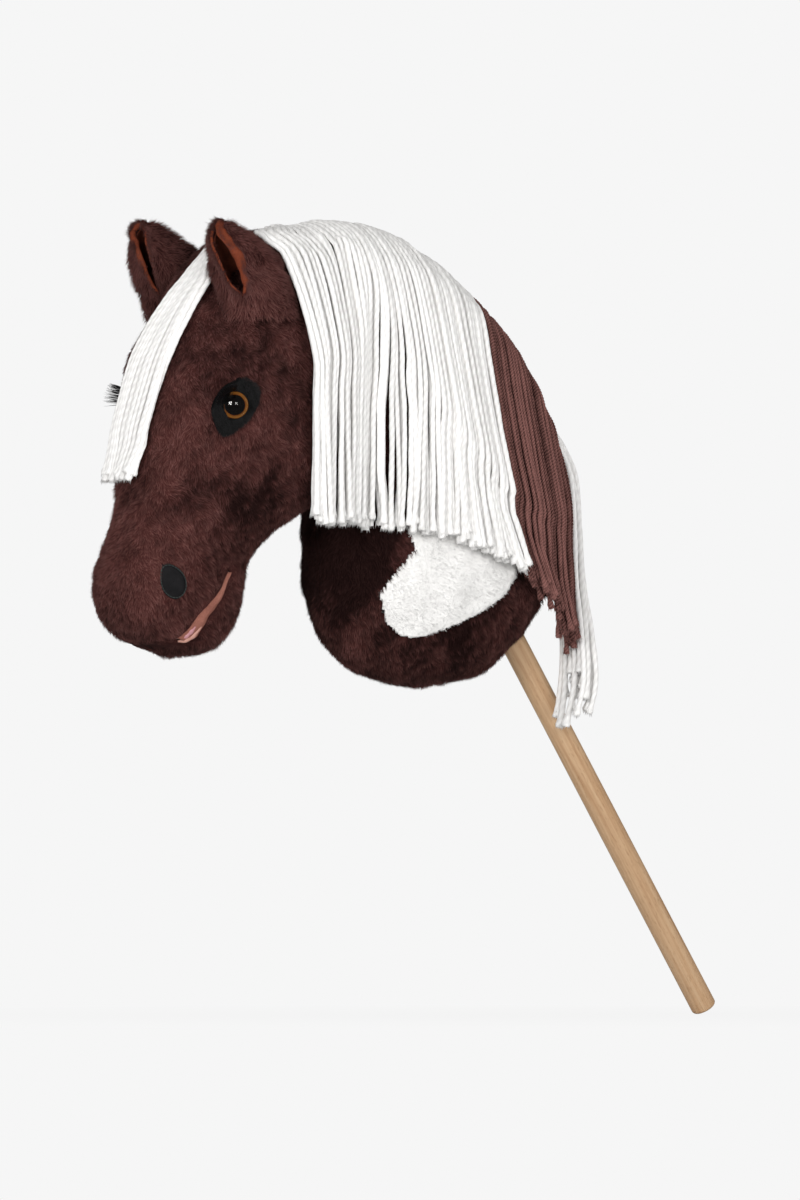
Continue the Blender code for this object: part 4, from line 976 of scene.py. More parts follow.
DRAPE_ANGLES = np.radians((90, 75, 60, 45, 30, 15, 0))
DRAPE_LOW = ((-0.311, 155), (-0.2295, 152), (-0.1575, 138), (-0.0875, 96), (-0.0385, 56), (0.0035, 40))
TAPE_UNDER = 0.0034
MANE_DROP = 0.25
MANE_X = np.linspace(-0.313, 0.004, 56)


def fold_over(near, angles, gap):
    """The fold of a taut cloth over points: lines at set angles a gap off them, and their crossings."""
    outs = np.stack([-np.cos(angles), np.sin(angles)], 1)
    support = (near @ outs.T).max(0) + gap
    turn = [np.linalg.solve(outs[i : i + 2], support[i : i + 2]) for i in range(len(outs) - 1)]
    return support, np.array(turn), unit(outs[:-1] + outs[1:])


def drape_table(columns):
    """The fold of hanging yarn over the near side, for each x, as y, z and the way out at each turn."""
    found = []
    for form, last in ((neck, len(NECK_ROWS) - 1), (head, 7)):
        t, a = np.meshgrid(np.arange(0.05, last, 0.05), np.linspace(0, math.pi, 120), indexing="ij")
        found.append(form.place(t, a).reshape(-1, 3))
    found = np.concatenate(found)
    rows = []
    for x in columns:
        near = found[(np.abs(found[:, 0] - x) < 0.0025) & (found[:, 1] <= 0.002)]
        near = near[near[:, 2] > read_off(x, DRAPE_LOW) * MM]
        support, turn, out = fold_over(near[:, 1:], DRAPE_ANGLES, TAPE_UNDER)
        rows.append(np.concatenate([[(0.0, support[0], 0.0, 1.0)], np.concatenate([turn, out], 1)]))
    return np.array(rows)


DRAPE = drape_table(MANE_X)
# Waves in the lie of the strands: size, length along the crest, start
CLUMPS = ((0.0014, 0.0155, 0.4), (0.0013, 0.0103, 2.0), (0.0012, 0.034, 1.1))
# How far the strands part (or close, where negative) beside x, at each share of the drop
PARTING_DROPS = (0, 0.5, 0.62, 0.85, 1)
PARTINGS = (
    (-0.231, (-1.5, -1.7, -2.0, -2.0, -1.4)),
    (-0.2170, (0.0, 0.3, 2.3, 2.2, 0.4)),
    (-0.1588, (-1.0, -1.0, -0.9, -0.8, -0.5)),
)
PARTING_STEP, PARTING_REACH, PARTING_SIZE = 0.004, 0.022, 0.0022
# How far the inner layers lie behind the outer one, along the crest, for each of its depth
LAYER_LEAN = 0.78
# The share of its depth at which a layer lies at each turn of the fold, from the crest down
LAYER_SPREAD = (0.29, 0.29, 0.29, 0.36, 0.59, 0.87, 1.0)
# How far the tips stray backwards, at x on the crest
STRAY = ((-0.309, -0.006), (-0.231, -0.003), (-0.159, 0.006), (-0.089, 0.015), (-0.040, 0.013), (0.0, 0.012))
# How far forwards the yarn sways: its share at x, and metres at shares of the drop
SWAY = ((-0.17, 0.0), (-0.125, 0.5), (-0.09, 1.0), (-0.04, 0.5), (0.0, 0.3))
SWAY_DOWN = ((0.0, 0.0085), (0.25, 0.017), (0.5, 0.021), (0.78, 0.021), (1.0, 0.002))
# How far inwards the yarn lies on the steep crest, at x, and its share at each turn of the fold
EASE = ((-0.20, 0.0), (-0.15, 0.0035), (-0.12, 0.0042), (-0.09, 0.0052), (0.0, 0.0045))
EASE_SPREAD = (1.0, 1.0, 1.0, 0.9, 0.6, 0.2, 0.0)
# How far down it lies near the head, in the same way
SINK = ((-0.315, 0.0155), (-0.300, 0.0075), (-0.290, 0.0035), (-0.230, 0.003), (-0.190, 0.0))
SINK_SPREAD = (1.0, 0.9, 0.5, 0.2, 0.0, 0.0, 0.0)
# The first strands, in front of EARLY_X, reach across the crest and bend forwards round the ear
EARLY_X, EARLY_RUN, EARLY_ACROSS = -0.262, 0.048, 0.0110
EARLY_BEND = ((0.0, 0.9), (0.10, 1.35), (0.24, 0.9), (0.45, 0.3), (1.0, 0.1))
SHOULDER_DOWN = ((0.02, 1), (0.058, 0.4), (0.10, 0.1), (0.2, 0))
WANDER = 0.0014


def hanging(x, tip, depth, stray_extra, seed):
    """Paths of yarn sewn at x on the crest, over the drape and down to the tips, a depth above the cover."""
    rng = np.random.default_rng(seed)
    folds = [[np.interp(x, MANE_X, column) for column in turn.T] for turn in DRAPE.transpose(1, 0, 2)]
    table = np.array(folds).transpose(2, 0, 1)
    ease = read_off(x, EASE)[:, None] * EASE_SPREAD
    spots = table[:, :, :2] + unit(table[:, :, 2:]) * (depth[:, None] * LAYER_SPREAD - ease)[..., None]
    early = np.clip((EARLY_X - x) / EARLY_RUN, 0, 1)[:, None]
    spots[..., 1] -= read_off(x, SINK)[:, None] * SINK_SPREAD
    spots[..., 0] = np.minimum(spots[..., 0], -EARLY_ACROSS * early + 0.002 * (early == 0))
    lead = spots[:, :1] * (0, 1) + np.stack([0.0065 - 0.0175 * early[:, 0], 0 * x - 0.0045], -1)[:, None]
    last = spots[:, -1:]
    low = [last + (np.stack([last[:, 0, 0], tip], -1)[:, None] - last) * s for s in (0.3, 0.65, 1.0)]
    line = np.concatenate([lead, spots, *low], 1)
    t = np.linspace(0, line.shape[1] - 1, 160)
    y, z = np.array([through(row, t) for row in line]).transpose(2, 0, 1)
    drop = np.maximum((spots[:, :1, 1] - z) / MANE_DROP, 0)
    stray = read_off(x, STRAY)[:, None] * drop**2
    stray = stray - read_off(x, SWAY)[:, None] * read_off(drop, SWAY_DOWN)
    share = np.linspace(0, 1, len(t))
    wave = rng.normal(scale=WANDER, size=(len(x), 3))
    bend = (
        wave[:, :1] * np.sin(share * 3.0 + wave[:, 2:] * 300)
        + wave[:, 1:2] * np.sin(share * 7.0 + wave[:, :1] * 500) * 0.5
    ) * share
    out = wave[:, 2:] * np.sin(share * 5.0 + wave[:, 1:2] * 400) * share * 0.5
    kink = np.sin(share * rng.uniform(28, 60, (len(x), 1)) + rng.uniform(0, TURN, (len(x), 1)))
    kink = kink * np.sin(share * rng.uniform(5, 12, (len(x), 1)) + rng.uniform(0, TURN, (len(x), 1)))
    even = (x - (OUTER_DEPTH - depth) * LAYER_LEAN)[:, None]
    clump = sum(size * np.sin(even * TURN / wide + turn) for size, wide, turn in CLUMPS) * drop**1.1
    for place, amounts in PARTINGS:
        beside = np.tanh((even - place) / PARTING_STEP) * np.exp(-(((even - place) / PARTING_REACH) ** 2))
        clump = clump + PARTING_SIZE * beside * np.interp(drop, PARTING_DROPS, amounts)
    clump = clump + rng.normal(scale=0.0030, size=(len(x), 1)) * share**8
    xs = x[:, None] + stray + bend + stray_extra[:, None] * share**2 + kink * 0.00045 + clump
    xs = xs - 0.013 * early * read_off(drop, EARLY_BEND)
    xs = xs - 0.0197 * early * (np.interp(-y, (0.014, 0.038), (0, 1)) * read_off(drop, SHOULDER_DOWN))
    return np.stack([xs, y - np.abs(out), z], -1)


# Sections: node, body, crest from and to, tips in front and behind, hinge, seed, raggedness of the tips
SECTIONS = (
    ("mane_white_front_1", "mane_white_1", -0.3135, -0.2335, 0.155, 0.152, (-0.272, 0, 0.4093), 101, 0.0028),
    ("mane_white_front_2", "mane_white_2", -0.2285, -0.1600, 0.152, 0.140, (-0.1953, 0, 0.4), 102, 0.0028),
    ("mane_white_front_3", "mane_white_3", -0.1575, -0.0890, 0.138, 0.112, (-0.1243, 0, 0.3726), 103, 0.0030),
    ("mane_brown_1", "mane_brown_1", -0.0875, -0.0415, 0.110, 0.082, (-0.0648, 0, 0.3291), 104, 0.0055),
    ("mane_brown_2", "mane_brown_2", -0.0385, 0.0005, 0.074, 0.050, (-0.0192, 0, 0.263), 105, 0.0060),
)
OUTER_DEPTH = 0.0098
# Layers: depth above the cover, sides of a strand, step along it, fibres in its brush
INNER_LAYERS = ((0.0026, 6, 0.004, 14), (0.0062, 7, 0.004, 16))
WHITE_OUTER, BROWN_OUTER = (OUTER_DEPTH, 10, 0.0020, 22), (OUTER_DEPTH, 12, 0.0011, 22)
# Yarns: radius, lobes, their depth, pitch and finish
MANE_WHITE = 0.00228, 2, 0.025, WHITE_PITCH, white_yarn
MANE_BROWN = 0.00190, 3, 0.15, BROWN_PITCH, brown_yarn
REAR_WHITE = 0.0024, 2, 0.035, WHITE_PITCH, white_yarn
FORELOCK_WHITE = 0.0023, 2, 0.035, WHITE_PITCH, white_yarn


def make_section(node, body, start, end, tip_front, tip_back, hinge, seed, ragged):
    """A section of the mane: three layers of strands, the outer one the finest."""
    brown = "brown" in node
    look = MANE_BROWN if brown else MANE_WHITE
    rng = np.random.default_rng(seed)
    width = end - start
    count = int(round(width / (2.14 * look[0])))
    layers = (*INNER_LAYERS, BROWN_OUTER if brown else WHITE_OUTER)
    for layer, (depth, sides, step, brush) in enumerate(layers):
        x = start + width * (np.arange(count) + 0.46 + 0.05 * layer) / count
        x = x + rng.normal(scale=look[0] * 0.12, size=count) + (OUTER_DEPTH - depth) * LAYER_LEAN
        tip = tip_front + (tip_back - tip_front) * (x - start) / width
        uneven = np.clip(rng.normal(size=count), -1.6, 1.6)
        tip = tip + ragged * (uneven + (2 - layer) * rng.uniform(-0.5, 0.7, count))
        depths = depth + rng.normal(scale=0.0006, size=count)
        stray = rng.normal(scale=0.0016, size=count)
        paths = hanging(x, tip, depths, stray, seed * 10 + layer)
        rings = int(np.linalg.norm(np.diff(paths[0], axis=0), axis=-1).sum() / step)
        lobed = brown or layer == 2
        name = f"{node}_layer_{layer + 1}"
        item = strands(name, paths, look, sides, rings, (1, 0, 0), seed * 10 + layer + 5, lobed, brush)
        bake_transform(item)
        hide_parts(node)


# The rear strands' bundle: z, x from and to, y from and to
REAR_ROWS = (
    (234, -7, -3, -8, -17), (216, -1, 5, -10, -24), (198, 3, 11, -8, -30), (176, 7, 15, -8, -31),
    (145, 9, 16, -6, -33), (100, 9, 18, -10, -37), (60, 8, 20, -13, -45), (20, 4, 20, -16, -51),
    (-8, -1, 17, -17, -46), (-34, -6, 10, -17, -38),
)


def make_rear():
    """The last white strands: a bundle three deep that follows the rows from the crest down past the neck."""
    rng = np.random.default_rng(77)
    across, deep = np.meshgrid(np.linspace(-0.8, 0.8, 3), np.linspace(-0.88, 0.88, 6))
    across, deep = across.ravel(), deep.ravel()
    share = np.linspace(0, 1, 90)
    z, x_from, x_to, y_from, y_to = (through(REAR_ROWS, np.linspace(0, len(REAR_ROWS) - 1, 90)) * MM).T
    x = (x_from + x_to) / 2 + (x_to - x_from) / 2 * across[:, None]
    y = (y_from + y_to) / 2 + (y_to - y_from) / 2 * deep[:, None]
    wave = rng.normal(scale=0.0013, size=(len(across), 2))
    x = x + wave[:, :1] * np.sin(share * 9 + wave[:, 1:] * 900)
    y = y + wave[:, 1:] * np.sin(share * 12 + wave[:, :1] * 900) * 1.3
    paths = np.stack([x, y, 0 * x + z], -1)
    cut = rng.uniform(0.75, 0.96, len(across)) - 0.04 * (across > 0) + 0.04 * (rng.random(len(across)) < 0.15)
    paths = cut_short(paths, cut)
    item = strands("mane_white_rear_strands", paths, REAR_WHITE, 10, 105, (1, 0, 0), 78, brush=30)
    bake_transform(item)
    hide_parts("mane_white_rear")


FORELOCK_ANGLES = np.radians((55, 40, 27, 16, 8))
FORELOCK_TOP, FORELOCK_LOW = 0.386, 0.186
# Half the forelock's width and its middle's distance to the far side, at heights
FORELOCK_HEIGHTS = (0.185, 0.220, 0.291, 0.334, 0.361, 0.380)
FORELOCK_SPREAD = (
    (0.0200, 0.0235, 0.0228, 0.0168, 0.0130, 0.0065),
    (0.0090, 0.0000, -0.0080, -0.0178, -0.0235, -0.0190),
)


def make_forelock():
    """Yarn from the poll over the face: such a fold in the plane of symmetry, fanned out sideways."""
    t, a = np.meshgrid(np.arange(0.4, 9.0, 0.05), np.linspace(0, 0.6, 30), indexing="ij")
    front = head.place(t, a).reshape(-1, 3)
    front = front[(np.abs(front[:, 1]) < 0.024) & (front[:, 2] > FORELOCK_LOW) & (front[:, 2] < FORELOCK_TOP)]
    _, turn, out = fold_over(front[:, [0, 2]], FORELOCK_ANGLES, 0.0012)
    first = turn[0] + (FORELOCK_TOP - turn[0, 1]) * np.array((math.tan(FORELOCK_ANGLES[0]), 1.0))
    last = turn[-1] + (FORELOCK_LOW - turn[-1, 1]) * np.array((math.tan(FORELOCK_ANGLES[-1]), 1.0))
    line = np.vstack([first + np.array((0.016, 0.004)), first, turn, (turn[-1] + last) / 2, last])
    ways = np.vstack([out[:1], out[:1], out, out[-1:], out[-1:]])
    rng = np.random.default_rng(61)
    t = np.linspace(0, len(line) - 1, 120)
    for layer, (depth, count, sides) in enumerate(((0.0016, 10, 8), (0.0048, 11, 10))):
        share_across = np.linspace(-1, 1, count) + rng.normal(scale=0.05, size=count)
        flat = through(line, t) + unit(through(ways, t)) * depth
        down = np.clip((FORELOCK_TOP - flat[:, 1]) / 0.2, 0, 1)
        half, middle = (np.interp(flat[:, 1], FORELOCK_HEIGHTS, row) for row in FORELOCK_SPREAD)
        y = middle + (half - 0.0020) * share_across[:, None]
        y = y + rng.normal(scale=0.0012, size=(count, 1)) * np.sin(down * 7)
        x = flat[:, 0] + (y / 0.045) ** 2 * 0.0125 - rng.random((count, 1)) * 0.002 * down
        paths = cut_short(np.stack([x, y, 0 * x + flat[:, 1]], -1), rng.uniform(0.955, 1.0, count))
        name = f"forelock_layer_{layer + 1}"
        item = strands(name, paths, FORELOCK_WHITE, sides, 110, (0, 1, 0), 62 + layer)
        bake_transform(item)
        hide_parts("forelock")


TAPE_HALF, TAPE_THICK, TAPE_SAG = 0.008, 0.0016, 0.0016
STITCHES, STITCH_Y, STITCH_REACH = 110, 0.0052, 0.0014
STITCH_SIZE = (0.00025, 0.00042, 0.00045, 0.00042, 0.00025)


def make_tape():
    """The woven tape along the crest: a strip that bends over it, with a row of stitches."""
    t = np.linspace(5.6, 12.2, 150)
    ridge = through(NECK_ROWS, t)[:, 2:4] * MM
    run = unit(np.gradient(ridge, axis=0))
    up = np.stack([run[:, 1], -run[:, 0]], 1) * np.sign(run[:, :1] * -1)
    up = np.where((up[:, 1:] > 0) | (up[:, :1] > 0.5), up, -up)
    across = np.linspace(-TAPE_HALF, TAPE_HALF, 11)
    flat = ridge[:, None] + up[:, None] * (0.0006 - (across / TAPE_HALF) ** 2 * TAPE_SAG)[:, None]
    grids = [np.insert(f, 1, across, -1) for f in (flat + up[:, None] * TAPE_THICK, flat)]
    seat(made("mane_tape_strip", sheet_between(*grids), tape_weave), "mane_tape")
    line = evenly(grids[0][None, :, 5] * (1, 0, 1), STITCHES)[0]
    run = unit(np.gradient(line, axis=0))
    rise = np.stack([-run[:, 2], 0 * run[:, 0], run[:, 0]], 1)
    rise *= np.sign(rise[:, 2:] + rise[:, :1] * 0.2)
    middle = line + (0, STITCH_Y, 0) + rise * -0.0004
    stitches = middle[:, None] + run[:, None] * np.linspace(-STITCH_REACH, STITCH_REACH, 5)[:, None]
    stitches = stitches + rise[:, None] * (np.sin(np.linspace(0, math.pi, 5)) * 0.0007)[:, None]
    size = np.tile(STITCH_SIZE, (STITCHES, 1))
    shape = closed_tube(tube_rings(stitches, size, 6, (0, 1, 0)))
    seat(made("mane_tape_stitches", shape, tape_weave))


# Ears

EAR_HEIGHT, EAR_WIDE, EAR_DEEP = 0.070, 0.025, 0.035
# Rows: share of the height, middle's x in millimetres, share of the width and depth
EAR_ROWS = (
    (-0.34, 6, 0.98), (0.00, 0, 1.03), (0.26, -9, 1.03), (0.50, -16, 0.96),
    (0.73, -26, 0.72), (0.88, -33, 0.46), (0.96, -36, 0.24), (1.00, -37, 0.03),
)
# Openings of the ears: height, and the angles from straight ahead between which they open
EAR_OPENINGS = {
    "left": (
        (0, 40, 40), (5, 36, 44), (12.6, 24, 55), (37, 10, 58), (51, -8, 50), (62, -32, 30), (68, -32, 22),
    ),
    "right": ((0, 34, 34), (4, 32, 36), (12.6, 26, 42), (49.7, 9, 43), (60, -29, 55), (68, -29, 30)),
}
# How much deeper each ear is behind, at its tip
EAR_BACKS = {"left": 0.10, "right": 0.45}
# Half the width of the lining's fold over the two edges of each ear's opening
EAR_FOLDS = {"left": (0.0042, 0.0016), "right": (0.0014, 0.0028)}
FOLD_SWELL = ((0, 0.25), (0.12, 0.75), (0.35, 1.0), (0.8, 0.9), (1, 0.3))
EAR_BURIED = 0.0055
FRINGE = 3600


def ear_wall(name, centre, v, s, shrink):
    """A cup of level ellipses, v up the ear and s round it from one edge of the opening to the other."""
    row = through(EAR_ROWS, v)
    height = row[..., 0] * (EAR_HEIGHT - shrink)
    wide = np.maximum(EAR_WIDE * row[..., 2] - shrink, 0.0012)
    deep = np.maximum(EAR_DEEP * row[..., 2] - shrink, 0.0012)
    level, first, last = np.array(EAR_OPENINGS[name]).T
    first, last = (np.radians(np.interp(height / MM, level, edge)) for edge in (first, last))
    turn = last + (first + TURN - last) * s
    deep = deep * np.cos(turn) * (1 + EAR_BACKS[name] * (np.cos(turn) < 0) * height / EAR_HEIGHT)
    x = centre[0] + row[..., 1] * MM - deep
    return np.stack([x, centre[1] - wide * np.sin(turn), centre[2] + height], -1)


def showing(outer):
    """The faces of a grid that aren't buried in the head."""
    buried = head.holds(outer, EAR_BURIED)
    return ~(buried[:-1, :-1] & buried[1:, 1:])


def make_ears():
    """A cup of cloth on each side, with its pile, a fringe of longer hair along its edges, and its lining."""
    for side, name in SIDES:
        centre = ear_centres[side]
        v, s = np.meshgrid(np.linspace(0.35, len(EAR_ROWS) - 1.02, 60), np.linspace(0, 1, 72), indexing="ij")
        outer, inner = (ear_wall(name, centre, v, s, shrink) for shrink in (0.0026, 0.0044))
        out = unit(np.cross(np.gradient(outer, axis=0), np.gradient(outer, axis=1)))
        out *= np.sign((out * (outer - outer.mean(1, keepdims=True))).sum(-1, keepdims=True))
        outer = outer + out * (swell(outer, 0.020, 88) * 0.0009)[..., None]
        keep = showing(outer)
        shape = sheet_between(outer, inner, keep)
        item = made(f"ear_{name}_cloth", shape, brown_plush, {"tip": np.zeros(len(shape[0]))})
        rng = np.random.default_rng(80 + side)
        spots, normals = spread_over(outer, out, keep, rng)
        free = ~head.holds(spots, 0.002)
        spots, normals = spots[free], normals[free]
        # The ear's pile is painted lighter all over, a painted light on the ear's back, with random streaks
        lighter = 0.20 + 0.08 * swell(spots, 0.020, 33)
        fur = pile(f"ear_{name}_pile", spots, normals, brown_plush, 81 + side, 0.0074, nap=lighter, lift=0.8)
        rims, outs = (np.concatenate([grid[8:, 0], grid[8:, -1]]) for grid in (outer, out))
        pick = rng.integers(0, len(rims), FRINGE)
        rim = rims[pick] + rng.normal(scale=0.0010, size=(FRINGE, 3))
        away = unit(outs[pick] + (-0.25, -0.25, 0.1))
        fringe = pile(f"ear_{name}_fringe", rim, away, brown_plush, 82 + side, 0.0072, lift=1.0)
        linings = ear_lining(centre, name)
        for piece in (item, fur, fringe, *linings):
            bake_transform(piece)
        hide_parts(f"ear_{name}")
        for piece in linings:
            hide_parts(f"ear_lining_{name}")


def ear_lining(centre, name):
    """The velour inside the ear: the cup at a smaller size in a darker copy of the velour, painted shade inside
    the cup, and a fold over each edge of the opening.
    """
    rows = np.linspace(0.35, len(EAR_ROWS) - 1.12, 48)
    v, s = np.meshgrid(rows, np.linspace(0.004, 0.996, 64), indexing="ij")
    outer = ear_wall(name, centre, v, s, 0.0050)
    core = outer.mean(1, keepdims=True)
    inner = outer + unit(core - outer) * (0.0016 * (1 + 0.3 * swell(outer, 0.014, 90)))[..., None]
    pieces = [made(f"ear_{name}_velour", sheet_between(outer, inner, showing(outer)), painted_shade_velour)]
    share = np.linspace(0, 1, 90)
    for edge, half in enumerate(EAR_FOLDS[name]):
        line = np.linspace(1.15, len(EAR_ROWS) - 1.25, 90)
        path = ear_wall(name, centre, line, np.full(90, (-0.004, 1.004)[edge]), 0.0022)
        size = half * read_off(share, FOLD_SWELL)
        size = size * (1 + 0.12 * np.sin(share * 23 + edge) + 0.06 * np.sin(share * 51))
        shape = closed_tube(tube_rings(path[None], size[None], 16, (0, 1, 0)))
        pieces.append(made(f"ear_{name}_fold_{edge + 1}", shape, rust_velour))
    return pieces


# Eyes, nostrils and lashes

PATCH_OUTLINE = (
    (-20, -2), (-15, 9), (-2, 20), (11, 25), (20, 18), (22, 7), (14, -8), (4, -18), (-10, -25), (-17, -16),
)
EYE_RADIUS = 0.01175
EYE_FRONT = 0.0008
DOME_HEIGHT = 0.0077
# The eye's shank and rim: radius and height
SHANK = ((0.0023, -0.0174), (0.0025, -0.0165), (0.0025, -0.0014))
THROW, REACH = 0.03, 0.07


def outline_reach(outline, angle):
    """The distance from the middle to a smooth closed outline at each angle."""
    spots = np.array(outline, float) * MM
    turn = np.arctan2(spots[:, 1], spots[:, 0])
    order = np.argsort(turn)
    turn, far = turn[order], np.linalg.norm(spots[order], axis=1)
    at = np.interp(angle, np.concatenate([turn - TURN, turn, turn + TURN]), np.arange(3 * len(turn)))
    return through(np.tile(far, 3)[:, None], at)[..., 0]


def pad_on_head(place, flip, reach, rings, low, high):
    """A crowned pad seated on the head: rings of an outline thrown on the form along the pad's axis."""
    angle = np.arange(72) * TURN / 72
    share = np.linspace(0.0, 1, rings)
    r = share[:, None] * reach(angle)
    local = np.stack([flip * r * np.cos(angle), r * np.sin(angle), 0 * r + THROW], -1)
    seated = head.hit(put(local.reshape(-1, 3), place), -place[:3, 2], REACH).reshape(rings, 72, 3)
    crown = low + (high - low) * np.sqrt(np.clip(1 - share**4, 0, 1))
    return seated + place[:3, 2] * crown[:, None, None], seated + place[:3, 2] * (low - 0.0015)


def patch_reach(angle):
    return outline_reach(PATCH_OUTLINE, angle)


def make_eye(side, name):
    """Amber base with its shank, clear dome, and the black patch round them with its pile."""
    place = facing(eye_centres[side], eye_ways[side])
    rim = EYE_RADIUS - 0.0004
    base = [*SHANK, (rim, -0.0014), (EYE_RADIUS, -0.0010), (EYE_RADIUS, EYE_FRONT - 0.0004), (rim, EYE_FRONT)]
    base += [(EYE_RADIUS * s, EYE_FRONT) for s in np.linspace(0.95, 0.05, 16)]
    points, faces = turned_solid(base, 96, place)
    x, y, _ = ((points - place[:3, 3]) @ place[:3, :3]).T
    uv_points = np.stack([np.hypot(x, y) / EYE_RADIUS, np.arctan2(y, x) / TURN], 1)
    uv = np.concatenate([uv_points[f].reshape(-1, 2) for f in faces])
    seat(made(f"eye_iris_{name}", (points, faces), amber, None, uv), f"eye_base_{name}")
    low = EYE_FRONT - 0.0002
    turns = np.linspace(0, math.pi / 2, 24)[:-1]
    dome = [(EYE_RADIUS * s, low) for s in (0.2, 0.6, 0.98)]
    dome += [(EYE_RADIUS * 0.992 * math.cos(a), low + DOME_HEIGHT * math.sin(a)) for a in turns]
    seat(made(f"eye_dome_{name}", turned_solid(dome, 96, place), clear), f"eye_lens_{name}")
    outer, inner = pad_on_head(place, -side, patch_reach, 16, -0.0042, -0.0008)
    outer, inner = outer[7:], inner[7:]
    shape = sheet_between(outer, inner, None, True)
    patch = made(f"eye_patch_{name}_cloth", shape, black_plush, {"tip": np.zeros(len(shape[0]))})
    seat(patch, f"eye_patch_{name}")
    rng = np.random.default_rng(90 + side)
    spots, out = spread_over(outer, 0 * outer + place[:3, 2], 1, rng, 5200)
    fur = pile(f"eye_patch_{name}_pile", spots, out, black_plush, 91 + side, 0.0042, 0.0007, lift=0.6)
    seat(fur)
    make_lashes(side, name, place)


def make_lashes(side, name, place):
    """Bristles in clusters round the upper front of the eye, each a curved cone that flares outwards."""
    rng = np.random.default_rng(95 + side)
    clusters, each = 17, 7
    count = clusters * each
    cluster = np.repeat(np.arange(clusters), each) + rng.normal(scale=0.16, size=count)
    turn = np.radians(88 + 90 * cluster / clusters)
    steps = np.linspace(0, 1, 8)
    flare = rng.uniform(0.8, 1.08, (count, 1))
    r = EYE_RADIUS + 0.0004 + 0.0065 * flare * steps**1.5
    a = turn[:, None] + rng.normal(scale=0.06, size=(count, 1)) * steps
    paths = put(np.stack([-side * np.cos(a) * r, np.sin(a) * r, 0.001 + 0.0250 * flare * steps], -1), place)
    size = np.tile(0.00034 * (1 - steps) + 0.00005, (count, 1))
    shape = closed_tube(tube_rings(paths, size, 5, place[:3, 2] * 0.3 + (0, 0, 1)))
    seat(made(f"eye_lash_bristles_{name}", shape, lash_bristle), f"eye_lashes_{name}")


LEAF_WIDE, LEAF_TALL, LEAF_LEAN = 13.8, 16.0, math.radians(28)
STITCHED_IN, LEAF_STITCHES, STITCH_PARTS = 0.0026, 30, 6


def make_nostril(side, name):
    """A felt leaf, pointed above and round below, with a thread line sewn inside its edge."""
    place = facing(nostril_centres[side], unit(np.array((-0.205, side * 0.978, -0.043))))
    out = place[:3, 2]

    def leaf(q, less=0.0):
        """An oval that is drawn out to a point above and swollen below."""
        q = q + side * LEAF_LEAN
        reach = np.sqrt((LEAF_TALL * np.cos(q)) ** 2 + (LEAF_WIDE * np.sin(q)) ** 2)
        oval = LEAF_WIDE * LEAF_TALL * MM / reach
        point = 1 + 0.16 * np.clip(np.sin(q), 0, 1) ** 6 - 0.05 * np.clip(np.sin(q), 0, 1)
        return oval * point * (1 + 0.05 * np.clip(-np.sin(q), 0, 1)) - less

    shape = sheet_between(*pad_on_head(place, 1, leaf, 14, -0.0035, 0.0014), None, True)
    seat(made(f"nostril_felt_{name}_pad", shape, black_felt), f"nostril_felt_{name}")
    q = np.linspace(0, TURN, LEAF_STITCHES * STITCH_PARTS)
    r = leaf(q, STITCHED_IN)
    ring = put(np.stack([r * np.cos(q), r * np.sin(q), 0 * r + THROW], -1), place)
    line = head.hit(ring, -out, REACH) + out * 0.0012
    start = np.arange(LEAF_STITCHES) * STITCH_PARTS
    paths = evenly(line[(start[:, None] + np.linspace(-0.4, 5.2, 8).astype(int)) % len(line)], 8)
    arch = np.sin(np.linspace(0.1, math.pi - 0.1, 8))
    size = np.tile(0.00055 * arch**0.5, (LEAF_STITCHES, 1))
    shape = closed_tube(tube_rings(paths + out * (0.0007 * arch)[:, None], size, 6, out))
    seat(made(f"nostril_stitches_{name}", shape, grey_thread), f"nostril_stitching_{name}")


# Stick, sleeve and hidden parts

STICK_PLACE = facing((0, 0, 0), STICK_UP, (0, 1, 0))
SLEEVE_LOW, SLEEVE_OUT, SLEEVE_IN = 0.0855, 0.00175, 0.00045


def make_stick():
    """A round dowel with rounded ends: a profile turned round the stick's axis."""
    r, edge = STICK_RADIUS, 0.003
    turn = np.linspace(0, math.pi / 2, 8)
    low = [(r - edge + edge * math.sin(a), -STICK_BELOW + edge - edge * math.cos(a)) for a in turn]
    high = [(r - edge + edge * math.cos(a), STICK_ABOVE - edge + edge * math.sin(a)) for a in turn]
    heights = np.linspace(-STICK_BELOW + 0.01, STICK_ABOVE - 0.01, 60)
    shaft = [(r * (1 + 0.004 * math.sin(z * 31)), z) for z in heights]
    profile = [(r * 0.35, -STICK_BELOW + 0.00002), *low, *shaft, *high, (r * 0.35, STICK_ABOVE - 0.00002)]
    seat(made("stick_dowel", turned_solid(profile, 64, STICK_PLACE), beech), "stick")


def make_sleeve():
    """The cotton sleeve round the stick: a tube with soft folds."""
    z = np.linspace(SLEEVE_LOW, STICK_ABOVE + 0.0005, 90)[:, None]
    q = np.arange(40) * TURN / 40
    fold = 1 + 0.018 * np.sin(q * 7 + 3 * np.sin(z * 40))
    grids = []
    for r in ((STICK_RADIUS + SLEEVE_OUT) * fold, (STICK_RADIUS + SLEEVE_IN) * fold**0):
        grids.append(put(np.stack([r * np.cos(q), r * np.sin(q), 0 * r + z], -1), STICK_PLACE))
    seat(made("stick_sleeve_cloth", sheet_between(*grids, None, True), cotton), "stick_sleeve")


lip, chin = make_head()
make_mouth(lip, chin)
make_lips(lip, chin)
make_neck()
make_filling()
for side, name in SIDES:
    make_eye(side, name)
    make_nostril(side, name)
make_ears()
for section in SECTIONS:
    make_section(*section)
make_rear()
make_forelock()
make_tape()
make_stick()
make_sleeve()
# The hard parts that stay as they are get their finish
for node, finish in (("sleeve_tie", cotton), ("eye_washer_left", nylon), ("eye_washer_right", nylon)):
    for slot in nodes[node].material_slots:
        slot.material = finish


# Floor, light and camera

